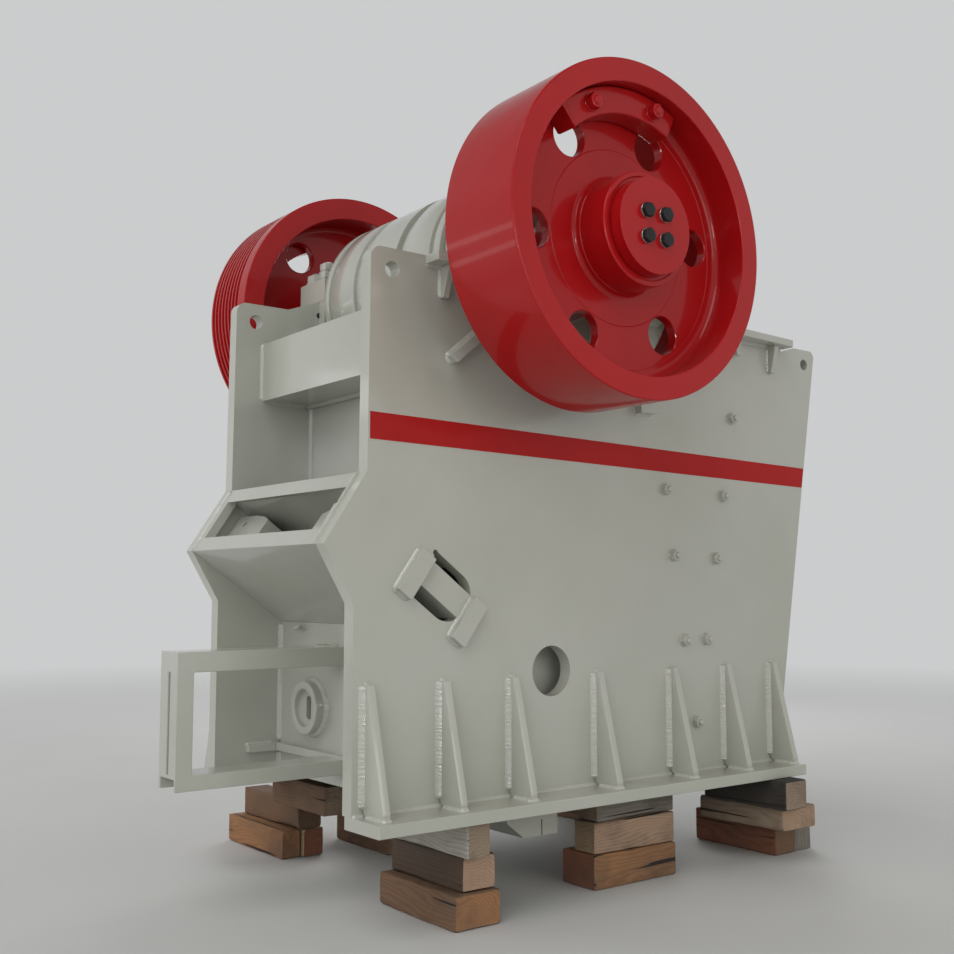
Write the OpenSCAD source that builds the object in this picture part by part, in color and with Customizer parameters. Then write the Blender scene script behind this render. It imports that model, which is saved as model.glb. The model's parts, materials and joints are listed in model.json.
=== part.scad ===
// Jaw crusher on timber cribbing: welded plate frame, ribbed swing jaw on an
// eccentric shaft, holed flywheel and grooved sheave, toggle box at the rear.
// Lengths in millimetres. X runs from the toggle end to the feed end, Z is up.
// The pieces are drawn from the frame's lower rear corner, then moved to the
// middle of the footprint and up onto the timbers.

/* [Frame] */
// outside width over the two side plates
frame_w = 1460; // [1360:10:1600]
// thickness of each side plate
plate_t = 75; // [60:5:90]
// thickness of the cross plates
wall_t = 50; // [30:2:60]
// distance from the frame's rear edge to the shaft centre
axle_x = 1100; // [1050:10:1180]
// height of the shaft centre above the flange underside
shaft_z = 2730; // [2680:5:2800]
// depth of the ribbed front, from the face of the fixed die
front_depth = 610; // [540:10:680]
// lean of the frame's front edge, run over rise
front_lean = 0.1815; // [0.16:0.0005:0.2]
// height of the toggle nose above the flange underside
nose_z = 1262; // [1222:2:1300]
// how far the toggle nose stands out behind the rear edge
nose_out = 154; // [120:2:180]
// radius of the access holes in the side plates
access_r = 126; // [80:2:150]

/* [Base] */
// thickness of the base flanges
base_t = 58; // [40:2:80]
// how far a base flange stands out from its side plate
base_out = 228; // [180:4:280]
// thickness of one tapered gusset
gusset_t = 44; // [24:2:60]
// height of the tapered gussets above the flange
gusset_h = 575; // [420:5:640]

/* [Bearings] */
// length of a bearing housing along the frame
housing_l = 1000; // [900:10:1080]
// how far a bearing housing stands out from its side plate
housing_out = 150; // [120:5:200]
// height of the shaft centre above the bearing seats
seat_drop = 155; // [140:5:180]
// height of the feet of a bearing cap
cap_h = 134; // [100:2:150]
// outside radius of a bearing cap
cap_r = 350; // [330:5:370]
// thickness of the bearing shelves
shelf_t = 42; // [24:2:44]

/* [Rotor] */
// eccentricity of the shaft
throw_e = 18; // [10:1:20]
// journal radius
journal_r = 120; // [100:2:135]
// radius of the eccentric length
eccentric_r = 190; // [170:2:210]
// flywheel and sheave radius
wheel_r = 805; // [740:5:860]
// radial depth of the flywheel rim
rim_d = 105; // [80:5:120]
// width of the flywheel rim
rim_w = 485; // [450:5:500]
// clear distance from side plate to wheel
wheel_gap = 280; // [250:5:320]
// radius of the wheel hubs
hub_r = 270; // [240:5:290]
// number of lightening holes in each wheel
hole_n = 6; // [4:1:8]
// radius of a lightening hole
hole_r = 95; // [70:5:100]
// number of belt grooves in the sheave
groove_n = 8; // [5:1:8]
// distance from groove to groove
groove_pitch = 44; // [40:1:46]
// depth of a belt groove
groove_d = 32; // [20:2:36]
// half the angle spanned by a counterweight
weight_half = 33; // [20:1:40]
// thickness of a counterweight
weight_t = 120; // [60:5:140]

/* [Swing jaw] */
// radius of the jaw head
head_r = 500; // [460:5:515]
// clearance between the swing jaw and each cheek plate
jaw_gap = 45; // [30:1:60]
// radial height of the raised head bands
band_h = 18; // [10:2:24]
// thickness of the jaw webs
web_t = 60; // [40:5:80]
// distance from the shaft centre to the foot of the moving die
jaw_reach = 1070; // [1020:10:1120]

/* [Chamber] */
// gap between the two dies at the discharge
discharge = 153; // [120:1:200]
// thickness of each jaw die at the tooth tips
die_t = 110; // [90:5:130]
// number of teeth on each jaw die
tooth_n = 12; // [8:1:14]
// height of the jaw teeth
tooth_h = 38; // [24:2:44]
// thickness of the cheek plates
cheek_t = 40; // [30:2:50]

/* [Toggle] */
// distance from the frame's rear edge to the toggle block
block_x = 505; // [480:5:530]
// height of the toggle block above the flange underside
block_z = 1057; // [1030:1:1080]
// size of the toggle block along the thrust line
block_u = 285; // [255:5:300]
// size of the toggle block across the thrust line
block_v = 133; // [110:1:150]
// thickness of the toggle plate
toggle_t = 90; // [60:5:100]

/* [Cribbing] */
// height of one timber
timber_h = 162; // [140:2:180]

/* [Hidden] */
$fn = 96;

paint = [0.80, 0.82, 0.77];
red = [0.66, 0.07, 0.08];
steel = [0.42, 0.42, 0.41];
black = [0.06, 0.06, 0.06];
wood = [0.55, 0.40, 0.26];

// small gaps between pieces that seat on each other, and at the running bores
seat = 0.3;
run = 0.05;
past = 5;

// frame
y_out = frame_w / 2;
y_in = y_out - plate_t;
seat_z = shaft_z - seat_drop;
top_z = seat_z + 80;
corner_r = 60;
upper_edge = 78;
recess_x = 68;
recess_z = nose_z + 334;
notch_z = nose_z - 265;
lean_z = 100;
moving_x = axle_x + jaw_reach;
moving_lean = 0.1625;
moving_ang = -atan(moving_lean);
fixed_x = moving_x + discharge;
fixed_lean = 0.199;
fixed_ang = atan(fixed_lean);
front_x = fixed_x + front_depth;
ear_z = seat_z - 20;
ear_r = 42;
bore_cut = 331;
lift = 3 * timber_h;
x_max = front_x + front_lean * (ear_z - ear_r);

// base
flange_short = 23;
base_l = front_x - flange_short;
gusset_in = 52;
gusset_share = [0, 0.129, 0.293, 0.49, 0.689, 0.846, 1];
gusset_x = [for (s = gusset_share)
    gusset_in + s * (base_l - 2 * gusset_in - 2)];
gusset_tip = 14;
cope = 30;

// shelves and bearings
shelf_x0 = 385;
shelf_x1 = front_x + 150;
shelf_step = 78;
shelf_gap = 300;
shelf_rib_t = 36;
housing_x0 = axle_x - housing_l / 2;
housing_x1 = axle_x + housing_l / 2;
housing_in = y_in - 57;

// rear end
wall_x = 385;
wall_z = nose_z - 381;
ledge_z = 180;
ledge_s = 44;
boss_y = 286;
boss_z = 436;
boss_r = 140;
boss_out = 65;
slot_w = 48;
slot_h = 120;
beam_x = 240;
upper_x = 557;
beam_z0 = seat_z - 468;
beam_h = 324;
beam_t = 36;
bracket_out = 545;
bracket_w = 190;
bracket_z0 = 136;
bracket_z1 = 770;
bracket_t = 18;
x_min = -bracket_out;
x_mid = (x_max + x_min) / 2;

// toggle, drawn along the thrust line
thrust = 36.6;
toggle_l = 470;
tip_r = 60;
tip_gap = 45;
tip_u = block_u / 2 + seat + toggle_l - tip_r;
tip_x = block_x + tip_u * cos(thrust);
tip_z = block_z - tip_u * sin(thrust);
wedge_t = 121;
reaction_t = 50;
screw_l = 231;

// rotor
head_z = shaft_z - throw_e;
y_wheel = y_out + wheel_gap;
hub_w = rim_w + 5;
y_hub = y_wheel + hub_w;
web_in = 240;
web_out = 300;
hole_at = 528;
sheave_w = 450;
weight_at = 99;
cover_r = 228;
cover_t = 60;
bolt_square = 120;
bolt_r = 31;
bolt_h = 30;

// swing jaw
jaw_w = 2 * (y_in - cheek_t - jaw_gap);
jaw_z0 = 20;
foot_x = axle_x - 90;
foot_l = 335;
foot_z = -195;

function edge_x(z) = front_x + front_lean * z;
function fixed_face(z) = fixed_x + fixed_lean * (z - lean_z);
function moving_face(z) = moving_x - moving_lean * (z - lean_z);
function arc(x, z, r, a0, a1, n = 12) =
    [for (i = [0:n]) let (a = a0 + (a1 - a0) * i / n)
        [x + r * cos(a), z + r * sin(a)]];

module place() {
    translate([-x_mid, 0, lift])
        children();
}

module both_sides() {
    children();
    mirror([0, 1, 0])
        children();
}

// a flat shape in X and Z, thickened along Y from y0 by t
module slab(y0, t) {
    translate([0, y0 + t, 0])
        rotate([90, 0, 0])
            linear_extrude(height = t)
                children();
}

// a round bar along Y about a point in X and Z
module bar_y(x, z, r, y0, y1) {
    translate([x, y1, z])
        rotate([90, 0, 0])
            cylinder(h = y1 - y0, r = r);
}

module box(x0, x1, y0, y1, z0, z1) {
    translate([x0, y0, z0])
        cube([x1 - x0, y1 - y0, z1 - z0]);
}

// shapes drawn along the thrust line: x forward and down, z across it
module on_thrust() {
    translate([block_x, 0, block_z])
        rotate([0, thrust, 0])
            children();
}

// everything behind the fixed die leans with it; z runs up the die
module lean_front(z0) {
    translate([fixed_x, 0, lean_z])
        rotate([0, fixed_ang, 0])
            translate([0, 0, z0])
                children();
}

module lean_moving(z0) {
    translate([moving_x, 0, lean_z])
        rotate([0, moving_ang, 0])
            translate([0, 0, z0])
                children();
}

// side plates: toggle nose at the rear, notch for the bearing, leaning front
module plate_shape() {
    hx0 = housing_x0 - seat;
    hx1 = housing_x1 + seat;
    ear_x = edge_x(ear_z - ear_r) - ear_r;
    difference() {
        polygon(concat(
            [[0, base_t], [0, notch_z], [-nose_out, nose_z],
                [recess_x, recess_z]],
            arc(upper_edge + corner_r, top_z - corner_r, corner_r, 180, 90),
            [[hx0 - 200, top_z], [hx0, shaft_z], [hx0, seat_z],
                [hx1, seat_z], [hx1, shaft_z], [hx1 + 200, seat_z],
                [front_x + 122, seat_z], [front_x + 134, seat_z - 65],
                [front_x + 163, seat_z - 50], [front_x + 191, seat_z - 37],
                [front_x + 257, ear_z]],
            arc(ear_x, ear_z - ear_r, ear_r, 90, 0),
            [[edge_x(base_t), base_t]]));
        translate([axle_x, shaft_z])
            circle(r = bore_cut);
        translate([upper_edge + 119, top_z - 102])
            circle(r = 40);
        translate([ear_x - 58, ear_z - 94])
            circle(r = 34);
        translate([axle_x + 72, 649])
            circle(r = access_r);
        translate([block_x, block_z])
            rotate(-thrust)
                toggle_slot();
    }
}

// slot for the toggle block: rounded beyond its front corners, with a small
// relief hole at the upper rear one
module toggle_slot() {
    u = block_u / 2 + seat;
    v = block_v / 2 + seat;
    above = 51;
    below = 68;
    translate([-u, -v])
        square([2 * u, 2 * v]);
    for (side = [1, -1]) {
        rise = side > 0 ? above : below;
        bend = u - 1.3 * rise - 26;
        r = (pow(u - bend, 2) + rise * rise) / (2 * rise);
        intersection() {
            translate([-u, side > 0 ? 0 : -v - rise])
                square([2 * u, v + rise]);
            union() {
                translate([-u, -v - rise])
                    square([u + bend, 2 * (v + rise)]);
                translate([bend, side * (v + rise - r)])
                    circle(r = r);
            }
        }
    }
    translate([-u - 4, v + above - 10])
        circle(r = 14);
}

module side_plate_left() {
    color(paint) place()
        slab(-y_out, plate_t)
            plate_shape();
}

module side_plate_right() {
    color(paint) place()
        slab(y_in, plate_t)
            plate_shape();
}

module base_side() {
    box(0, base_l, -y_out - base_out, -y_in - 16, 0, base_t);
}

module base_flange_left() {
    color(paint) place()
        base_side();
}

module base_flange_right() {
    color(paint) place()
        mirror([0, 1, 0])
            base_side();
}

// tapered plates between flange and side plate, coped over the corner weld
module gusset_side() {
    for (x = gusset_x)
        translate([x, -y_out, base_t])
            rotate([90, 0, 90])
                linear_extrude(height = gusset_t)
                    polygon([[0, cope], [-cope, 0], [-base_out, 0],
                        [-base_out, gusset_tip],
                        [-26, gusset_h], [0, gusset_h]]);
}

module gussets_left() {
    color(paint) place()
        gusset_side();
}

module gussets_right() {
    color(paint) place()
        mirror([0, 1, 0])
            gusset_side();
}

// shelf under a bearing, in two lengths, with brackets below; the front one
// narrows towards its end, and a short raised length closes the rear. Each
// bracket is [x, reach at its top, reach at its foot, height, step up]
shelf_ribs = [[shelf_x0 + 85, 72, 30, 155, shelf_step],
    [axle_x - 400, housing_out - 12, 20, 174, 0],
    [axle_x + 364, housing_out - 12, 20, 174, 0],
    [axle_x + 890, housing_out - 12, 20, 174, 0],
    [front_x - 469, housing_out - 25, 20, 174, 0],
    [front_x - 8, 64, 34, 166, 0]];

module shelf_side() {
    z0 = seat_z - shelf_t;
    out = housing_out + 25;
    narrow = 0.6 * housing_out;
    short = 0.73 * housing_out;
    box(shelf_x0, housing_x0 - seat, -y_out - short, -y_out,
        z0 + shelf_step, seat_z + shelf_step);
    box(housing_x0, axle_x - shelf_gap, -y_out - out, -y_out, z0, seat_z);
    translate([0, 0, z0])
        linear_extrude(height = shelf_t)
            polygon([[axle_x + shelf_gap, -y_out],
                [axle_x + shelf_gap, -y_out - out],
                [housing_x1 + 200, -y_out - out],
                [shelf_x1 - 12, -y_out - narrow],
                [shelf_x1, -y_out - narrow + 30], [shelf_x1, -y_out]]);
    for (rib = shelf_ribs)
        translate([rib[0], -y_out, z0 + rib[4] - seat])
            rotate([90, 0, 90])
                linear_extrude(height = shelf_rib_t)
                    polygon([[0, 0], [-rib[1], 0], [-rib[1], -20],
                        [-rib[2], -rib[3]], [0, -rib[3]]]);
}

module bearing_shelf_left() {
    color(paint) place()
        shelf_side();
}

module bearing_shelf_right() {
    color(paint) place()
        mirror([0, 1, 0])
            shelf_side();
}

wall_back = die_t + seat + wall_t + 30;

module front_wall() {
    color(paint) place()
        lean_front(-40)
            translate([die_t + seat, -y_in + seat, 0])
                cube([wall_t + 30, 2 * (y_in - seat), 2500]);
}

function back_x(z) = fixed_face(z) + (wall_back + seat) / cos(fixed_ang);

rib_t = 55;
rib_z = [110, 580, 1050, 1520, 1990, seat_z - 135];

module front_ribs() {
    color(paint) place()
        for (z = rib_z)
            slab(-y_in + seat, 2 * (y_in - seat))
                polygon([[back_x(z), z], [edge_x(z) - 4, z],
                    [edge_x(z + rib_t) - 4, z + rib_t],
                    [back_x(z + rib_t), z + rib_t]]);
}

module front_stiffeners() {
    color(paint) place()
        for (i = [0:len(rib_z) - 2]) {
            z0 = rib_z[i] + rib_t + seat;
            z1 = rib_z[i + 1] - seat;
            for (y = [-365, 0, 365])
                slab(y - wall_t / 2, wall_t)
                    polygon([[back_x(z0), z0], [edge_x(z0) - 70, z0],
                        [edge_x(z1) - 70, z1], [back_x(z1), z1]]);
        }
}

module lower_rear_wall() {
    color(paint) place()
        difference() {
            box(wall_x, wall_x + wall_t, -y_in, y_in, base_t, wall_z);
            for (s = [-1, 1])
                box(wall_x - past, wall_x + wall_t + past,
                    s * boss_y - slot_w / 2, s * boss_y + slot_w / 2,
                    boss_z - slot_h / 2, boss_z + slot_h / 2);
        }
}

// one ledge across the rear wall and one along each side plate
module rear_ledges() {
    z1 = ledge_z + ledge_s - 2;
    color(paint) place() {
        box(wall_x - ledge_s, wall_x, -y_in, y_in, ledge_z, z1);
        both_sides()
            box(175, wall_x - ledge_s - seat, -y_in, -y_in + ledge_s,
                ledge_z, z1);
    }
}

module rod_bosses() {
    recess = 35;
    color(paint) place()
        for (s = [-1, 1])
            translate([wall_x - boss_out, s * boss_y, boss_z])
                rotate([0, 90, 0])
                    difference() {
                        cylinder(h = boss_out, r = boss_r);
                        translate([0, 0, -past])
                            cylinder(h = recess + past, r = boss_r - 44);
                        translate([-slot_h / 2, -slot_w / 2, -past])
                            cube([slot_h, slot_w, boss_out + 2 * past]);
                    }
}

// nose of the toggle box: underside, slanted face with its opening, top plate
function box_top(x) = recess_z - (x - recess_x) * tan(thrust);

roof_t = 60;

module toggle_box() {
    skin = wall_t * 1.15;
    mouth_z0 = nose_z + 70;
    mouth_z1 = nose_z + 264;
    color(paint) place() {
        slab(-y_in, 2 * y_in)
            polygon([[-nose_out, nose_z], [wall_x, wall_z],
                [wall_x + wall_t, wall_z],
                [wall_x + wall_t, wall_z + 28],
                [-nose_out + 30, nose_z + 45]]);
        difference() {
            slab(-y_in, 2 * y_in)
                polygon([[-nose_out, nose_z], [recess_x, recess_z],
                    [recess_x + skin, recess_z],
                    [-nose_out + skin, nose_z]]);
            box(-nose_out - past, recess_x + skin + past,
                -y_in + 50, y_in - 50, mouth_z0, mouth_z1);
            box(-nose_out - past, recess_x + skin + past,
                -y_in + 12, 0, mouth_z0 + 118, mouth_z1);
        }
        slab(-y_in, 2 * y_in)
            polygon([[recess_x, recess_z], [upper_x, box_top(upper_x)],
                [upper_x, box_top(upper_x) - roof_t],
                [recess_x, recess_z - roof_t]]);
    }
}

// height above the thrust line of a point in X and Z
function off_line(x, z) = (x - block_x) * sin(thrust)
    + (z - block_z) * cos(thrust);

// carries the wedges, between the underside and the top of the toggle box,
// with a screw block behind each wedge that shows through the mouth
module screw_block() {
    inner = y_in - 375;
    translate([-block_u / 2 - wedge_t - 2 * seat - reaction_t - screw_l, 0, 0])
        rotate([90, 0, 90])
            linear_extrude(height = screw_l + 1)
                difference() {
                    polygon([[y_in - seat, -87], [inner, -87],
                        [inner, 50], [inner + 60, 72], [inner + 170, 87],
                        [y_in - seat, 87]]);
                    translate([y_in - 133, 30])
                        circle(r = 16);
                }
}

module reaction_plate() {
    low = max(off_line(wall_x + wall_t, wall_z + 28),
        off_line(-nose_out + 30, nose_z + 45)) + seat;
    high = off_line(recess_x, recess_z) - roof_t * cos(thrust) - seat;
    color(paint) place()
        on_thrust()
            translate([-block_u / 2 - wedge_t - 2 * seat - reaction_t,
                -y_in + seat, low])
                cube([reaction_t, 2 * (y_in - seat), high - low]);
    color(paint) place()
        on_thrust()
            both_sides()
                screw_block();
}

module upper_rear_wall() {
    color(paint) place()
        box(upper_x, upper_x + wall_t, -y_in, y_in,
            box_top(upper_x) - 70, beam_z0 + beam_t);
}

module rear_beam() {
    color(paint) place() {
        box(beam_x, beam_x + beam_t, -y_in, y_in,
            beam_z0, beam_z0 + beam_h);
        box(beam_x, upper_x, -y_in, y_in, beam_z0, beam_z0 + beam_t);
        box(beam_x, upper_x, -y_in, y_in,
            beam_z0 + beam_h - beam_t, beam_z0 + beam_h);
        bar_y(upper_x - beam_t / 2, beam_z0, beam_t / 2, -y_in, y_in);
    }
}

// narrow open frame behind the rear wall, made of two flat side frames
module rear_bracket() {
    hw = bracket_w / 2;
    x1 = wall_x - ledge_s - seat;
    color(paint) place() {
        both_sides() {
            box(x_min, wall_x, -hw, -hw + bracket_t,
                bracket_z1 - 95, bracket_z1);
            box(x_min, x1, -hw, -hw + bracket_t,
                bracket_z0, bracket_z0 + 72);
            box(x_min, x_min + 82, -hw, -hw + bracket_t,
                bracket_z0, bracket_z1);
            box(x_min, x_min + 16, -hw, -12,
                bracket_z0 + 54, bracket_z1 - 18);
        }
        box(x_min, wall_x, -hw, hw, bracket_z1 - bracket_t, bracket_z1);
        box(x_min, x1, -hw, hw,
            bracket_z0 + 54, bracket_z0 + 54 + bracket_t);
        box(x_min, x_min + 70, -hw, hw, bracket_z1 - 95, bracket_z1);
    }
}

// lower half of a bearing: a block on the shelf, rounded down into the plate
module housing_side() {
    y0 = -y_out - housing_out;
    difference() {
        union() {
            box(housing_x0, housing_x1, y0, -housing_in,
                seat_z + seat, shaft_z);
            intersection() {
                bar_y(axle_x, shaft_z, bore_cut - 1, y0, -housing_in);
                box(axle_x - cap_r, axle_x + cap_r, y0, -housing_in,
                    shaft_z - cap_r, shaft_z);
            }
        }
        bar_y(axle_x, shaft_z, journal_r + run,
            y0 - past, -housing_in + past);
    }
}

module cap_side() {
    y0 = -y_out - housing_out;
    difference() {
        union() {
            box(housing_x0, housing_x1, y0, -housing_in,
                shaft_z + seat, shaft_z + cap_h);
            intersection() {
                bar_y(axle_x, shaft_z, cap_r, y0, -housing_in);
                box(axle_x - cap_r, axle_x + cap_r, y0, -housing_in,
                    shaft_z + seat, shaft_z + cap_r);
            }
        }
        bar_y(axle_x, shaft_z, journal_r + run,
            y0 - past, -housing_in + past);
    }
}

module bearing_housing_left() {
    color(paint) place()
        housing_side();
}

module bearing_housing_right() {
    color(paint) place()
        mirror([0, 1, 0])
            housing_side();
}

module bearing_cap_left() {
    color(paint) place()
        cap_side();
}

module bearing_cap_right() {
    color(paint) place()
        mirror([0, 1, 0])
            cap_side();
}

module eccentric_shaft() {
    throw_half = housing_in - 2;
    color(steel) place() {
        bar_y(axle_x, shaft_z, journal_r, -y_hub, y_hub);
        bar_y(axle_x, head_z, eccentric_r, -throw_half, throw_half);
    }
}

module web_holes(turn) {
    for (i = [0:hole_n - 1])
        rotate([0, 0, turn + i * 360 / hole_n])
            translate([hole_at, 0, web_in - 40])
                cylinder(h = web_out - web_in + 80, r = hole_r);
}

// wheel sections are drawn as radius against distance out from the frame
module flywheel() {
    rim_in = wheel_r - rim_d;
    color(red) place()
        translate([axle_x, -y_wheel, shaft_z])
            rotate([90, 0, 0])
                difference() {
                    rotate_extrude()
                        polygon([[journal_r + seat, 0], [hub_r, 0],
                            [hub_r, web_in], [rim_in, web_in],
                            [rim_in - 8, 0], [wheel_r - 8, 0],
                            [wheel_r, 8], [wheel_r, rim_w - 8],
                            [wheel_r - 8, rim_w], [rim_in - 8, rim_w],
                            [rim_in, web_out], [hub_r, web_out],
                            [hub_r, hub_w], [journal_r + seat, hub_w]]);
                    web_holes(5);
                }
}

module drive_sheave() {
    rim_in = wheel_r - rim_d - 20;
    first = sheave_w - 12 - groove_n * groove_pitch;
    color(red) place()
        translate([axle_x, y_wheel, shaft_z])
            rotate([-90, 0, 0])
                difference() {
                    rotate_extrude()
                        difference() {
                            polygon([[journal_r + seat, 0], [hub_r, 0],
                                [hub_r, web_in], [rim_in, web_in],
                                [rim_in - 8, 0], [wheel_r, 0],
                                [wheel_r, sheave_w],
                                [rim_in - 8, sheave_w],
                                [rim_in, web_out], [hub_r, web_out],
                                [hub_r, hub_w],
                                [journal_r + seat, hub_w]]);
                            for (i = [0:groove_n - 1])
                                translate([wheel_r + 1,
                                    first + (i + 0.5) * groove_pitch])
                                    polygon([[0, -15], [-groove_d, -7],
                                        [-groove_d, 7], [0, 15]]);
                        }
                    web_holes(-5);
                }
}

// an arc block at the top of each wheel web, opposite the eccentric
module weight_block(rim_in) {
    r1 = rim_in - 8;
    r0 = r1 - 130;
    y1 = -y_wheel - web_out - seat;
    reach = wheel_r + 100;
    a0 = weight_at - weight_half;
    a1 = weight_at + weight_half;
    intersection() {
        difference() {
            bar_y(axle_x, shaft_z, r1, y1 - weight_t, y1);
            bar_y(axle_x, shaft_z, r0, y1 - weight_t - past, y1 + past);
        }
        slab(y1 - weight_t, weight_t)
            translate([axle_x, shaft_z])
                polygon([[0, 0], [reach * cos(a0), reach * sin(a0)],
                    [reach * cos(weight_at), 1.2 * reach],
                    [reach * cos(a1), reach * sin(a1)]]);
    }
}

module counterweights() {
    color(red) place() {
        weight_block(wheel_r - rim_d);
        mirror([0, 1, 0])
            weight_block(wheel_r - rim_d - 20);
    }
}

module hub_covers() {
    color(red) place()
        both_sides()
            bar_y(axle_x, shaft_z, cover_r,
                -y_hub - cover_t, -y_hub - seat);
}

module hub_bolts() {
    y1 = -y_hub - cover_t - seat;
    color(black) place()
        both_sides()
            for (dx = [-0.5, 0.5])
                for (dz = [-0.5, 0.5])
                    bar_y(axle_x + dx * bolt_square,
                        shaft_z + dz * bolt_square, bolt_r,
                        y1 - bolt_h, y1);
}

// swing jaw: barrel head, front slab behind the die, webs, toggle seat, foot
function seat_x(z) = moving_face(z) - (die_t + seat) / cos(moving_ang);

slab_t = 100;
slab_z1 = shaft_z - 230;

module jaw_web(y) {
    back = tip_x + 71;
    slab(y - web_t / 2, web_t)
        polygon([[seat_x(slab_z1 - 20) - 60, slab_z1 - 20],
            [seat_x(jaw_z0) - 60, jaw_z0],
            [foot_x + foot_l + 95, jaw_z0], [foot_x + foot_l - 5, -60],
            [foot_x + 220, foot_z], [foot_x + 110, foot_z],
            [foot_x, -110], [back, 60], [back + 10, tip_z + 13],
            [back - 60, tip_z + 523],
            [axle_x - head_r + 60, head_z - 200],
            [axle_x, head_z]]);
}

// parallel bands stand proud of the head, with grooves between them
module head_bands() {
    hw = jaw_w / 2;
    end_band = -hw + 0.205 * jaw_w;
    mid_band = -hw + 0.342 * jaw_w;
    wide_groove = 50;
    groove = 26;
    bar_y(axle_x, head_z, head_r - band_h, -hw, hw);
    both_sides() {
        bar_y(axle_x, head_z, head_r, -hw, end_band);
        bar_y(axle_x, head_z, head_r, end_band + wide_groove, mid_band);
    }
    bar_y(axle_x, head_z, head_r + 20, mid_band + groove,
        -mid_band - groove);
}

module jaw_foot() {
    hw = jaw_w / 2;
    heel = foot_x + 218;
    slab(-hw, jaw_w)
        polygon([[foot_x, -110], [foot_x + 110, foot_z], [heel, foot_z],
            [heel, -100], [tip_x + 141, 60], [tip_x + 71, 60]]);
    slab(-hw, jaw_w)
        polygon([[heel, foot_z], [foot_x + foot_l, foot_z],
            [foot_x + foot_l, -60], [heel, -60]]);
}

module toggle_seat() {
    slab(-jaw_w / 2, jaw_w)
        translate([tip_x, tip_z])
            polygon([[71, 60 - tip_z], [81, 13], [61, 133], [131, 133],
                [231, -27], [231, -127], [151, -207],
                [141, 60 - tip_z]]);
}

module swing_jaw() {
    hw = jaw_w / 2;
    inner_web = 0.175 * jaw_w;
    bore_wall = 75;
    color(paint) place()
        difference() {
            union() {
                head_bands();
                for (y = [-hw + web_t / 2, -inner_web, inner_web,
                    hw - web_t / 2])
                    jaw_web(y);
                slab(-hw, jaw_w)
                    polygon([[seat_x(slab_z1), slab_z1],
                        [seat_x(jaw_z0), jaw_z0],
                        [seat_x(jaw_z0) - slab_t, jaw_z0],
                        [seat_x(slab_z1) - slab_t, slab_z1]]);
                toggle_seat();
                jaw_foot();
            }
            bar_y(axle_x, head_z, eccentric_r + run, -hw - past, hw + past);
            bar_y(axle_x, head_z, head_r - band_h - bore_wall,
                -hw + inner_web, hw - inner_web);
            bar_y(tip_x, tip_z, tip_r + tip_gap, -hw - past, hw + past);
            // groove between the two pads of the foot
            slab(-hw - past, jaw_w + 2 * past)
                translate([foot_x + 226, foot_z - 10])
                    square([8, 90]);
        }
}

// teeth run up the die; tips at local x = 0, die back at -t
module toothed(width, len) {
    p = width / tooth_n;
    linear_extrude(height = len)
        polygon(concat([[-die_t, -width / 2]],
            [for (i = [0:tooth_n - 1]) for (k = [0:3])
                [[-tooth_h, 0, 0, -tooth_h][k],
                    -width / 2 + (i + [0.04, 0.3, 0.7, 0.96][k]) * p]],
            [[-die_t, width / 2]]));
}

die_low = -80;
moving_l = 2410;
fixed_l = 2340;
wedge_h = 110;
die_side = 5;

module moving_die() {
    color(steel) place()
        lean_moving(die_low)
            toothed(jaw_w - 2 * die_side, moving_l);
}

module moving_die_wedge() {
    color(paint) place()
        lean_moving(die_low + moving_l + seat)
            translate([-die_t, -jaw_w / 2 + 20, 0])
                cube([80, jaw_w - 40, wedge_h]);
}

module fixed_die() {
    color(steel) place()
        lean_front(die_low)
            mirror([1, 0, 0])
                toothed(2 * (y_in - cheek_t - die_side), fixed_l);
}

module fixed_die_wedge() {
    color(paint) place()
        lean_front(die_low + fixed_l + seat)
            translate([30, -y_in + cheek_t + 10, 0])
                cube([die_t - 30, 2 * (y_in - cheek_t - 10), wedge_h]);
}

module cheek_shape() {
    z0 = 150;
    z1 = seat_z - 175;
    bend = 1700;
    difference() {
        polygon([[moving_face(z0) - 150, z0], [fixed_face(z0) + 60, z0],
            [fixed_face(z1) + 60, z1], [moving_face(z1), z1],
            [moving_face(bend) - 50, bend]]);
        translate([(moving_face(z1) + fixed_face(z1)) / 2, z1 - 130])
            circle(r = 30);
    }
}

module cheek_plate_left() {
    color(steel) place()
        slab(-y_in, cheek_t)
            cheek_shape();
}

module cheek_plate_right() {
    color(steel) place()
        slab(y_in - cheek_t, cheek_t)
            cheek_shape();
}

// washer and nut of each cheek plate bolt, in two rows along the dies
bolt_xz = concat(
    [for (z = [325, 780, 1235, 1596, 2058]) [fixed_face(z) - 130, z]],
    [for (z = [777, 1247, 1611]) [moving_face(z) + 90, z]]);
washer_t = 8;

module cheek_bolts() {
    color(paint) place()
        both_sides()
            for (b = bolt_xz) {
                bar_y(b[0], b[1], 38, -y_out - washer_t, -y_out);
                translate([b[0], -y_out - washer_t, b[1]])
                    rotate([90, 0, 0])
                        cylinder(h = 26, r = 29, $fn = 6);
            }
}

module toggle_block() {
    color(paint) place()
        on_thrust()
            translate([-block_u / 2, -y_out - 6, -block_v / 2])
                cube([block_u, 2 * y_out + 12, block_v]);
}

module toggle_plate() {
    half = 540;
    neck = 20;
    color(steel) place()
        on_thrust()
            translate([block_u / 2 + seat, -half, 0]) {
                translate([neck, 0, -toggle_t / 2])
                    cube([toggle_l - tip_r - neck, 2 * half, toggle_t]);
                translate([0, 0, -70])
                    cube([2 * neck, 2 * half, 140]);
                translate([toggle_l - tip_r, 2 * half, 0])
                    rotate([90, 0, 0])
                        cylinder(h = 2 * half, r = tip_r);
            }
}

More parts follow.
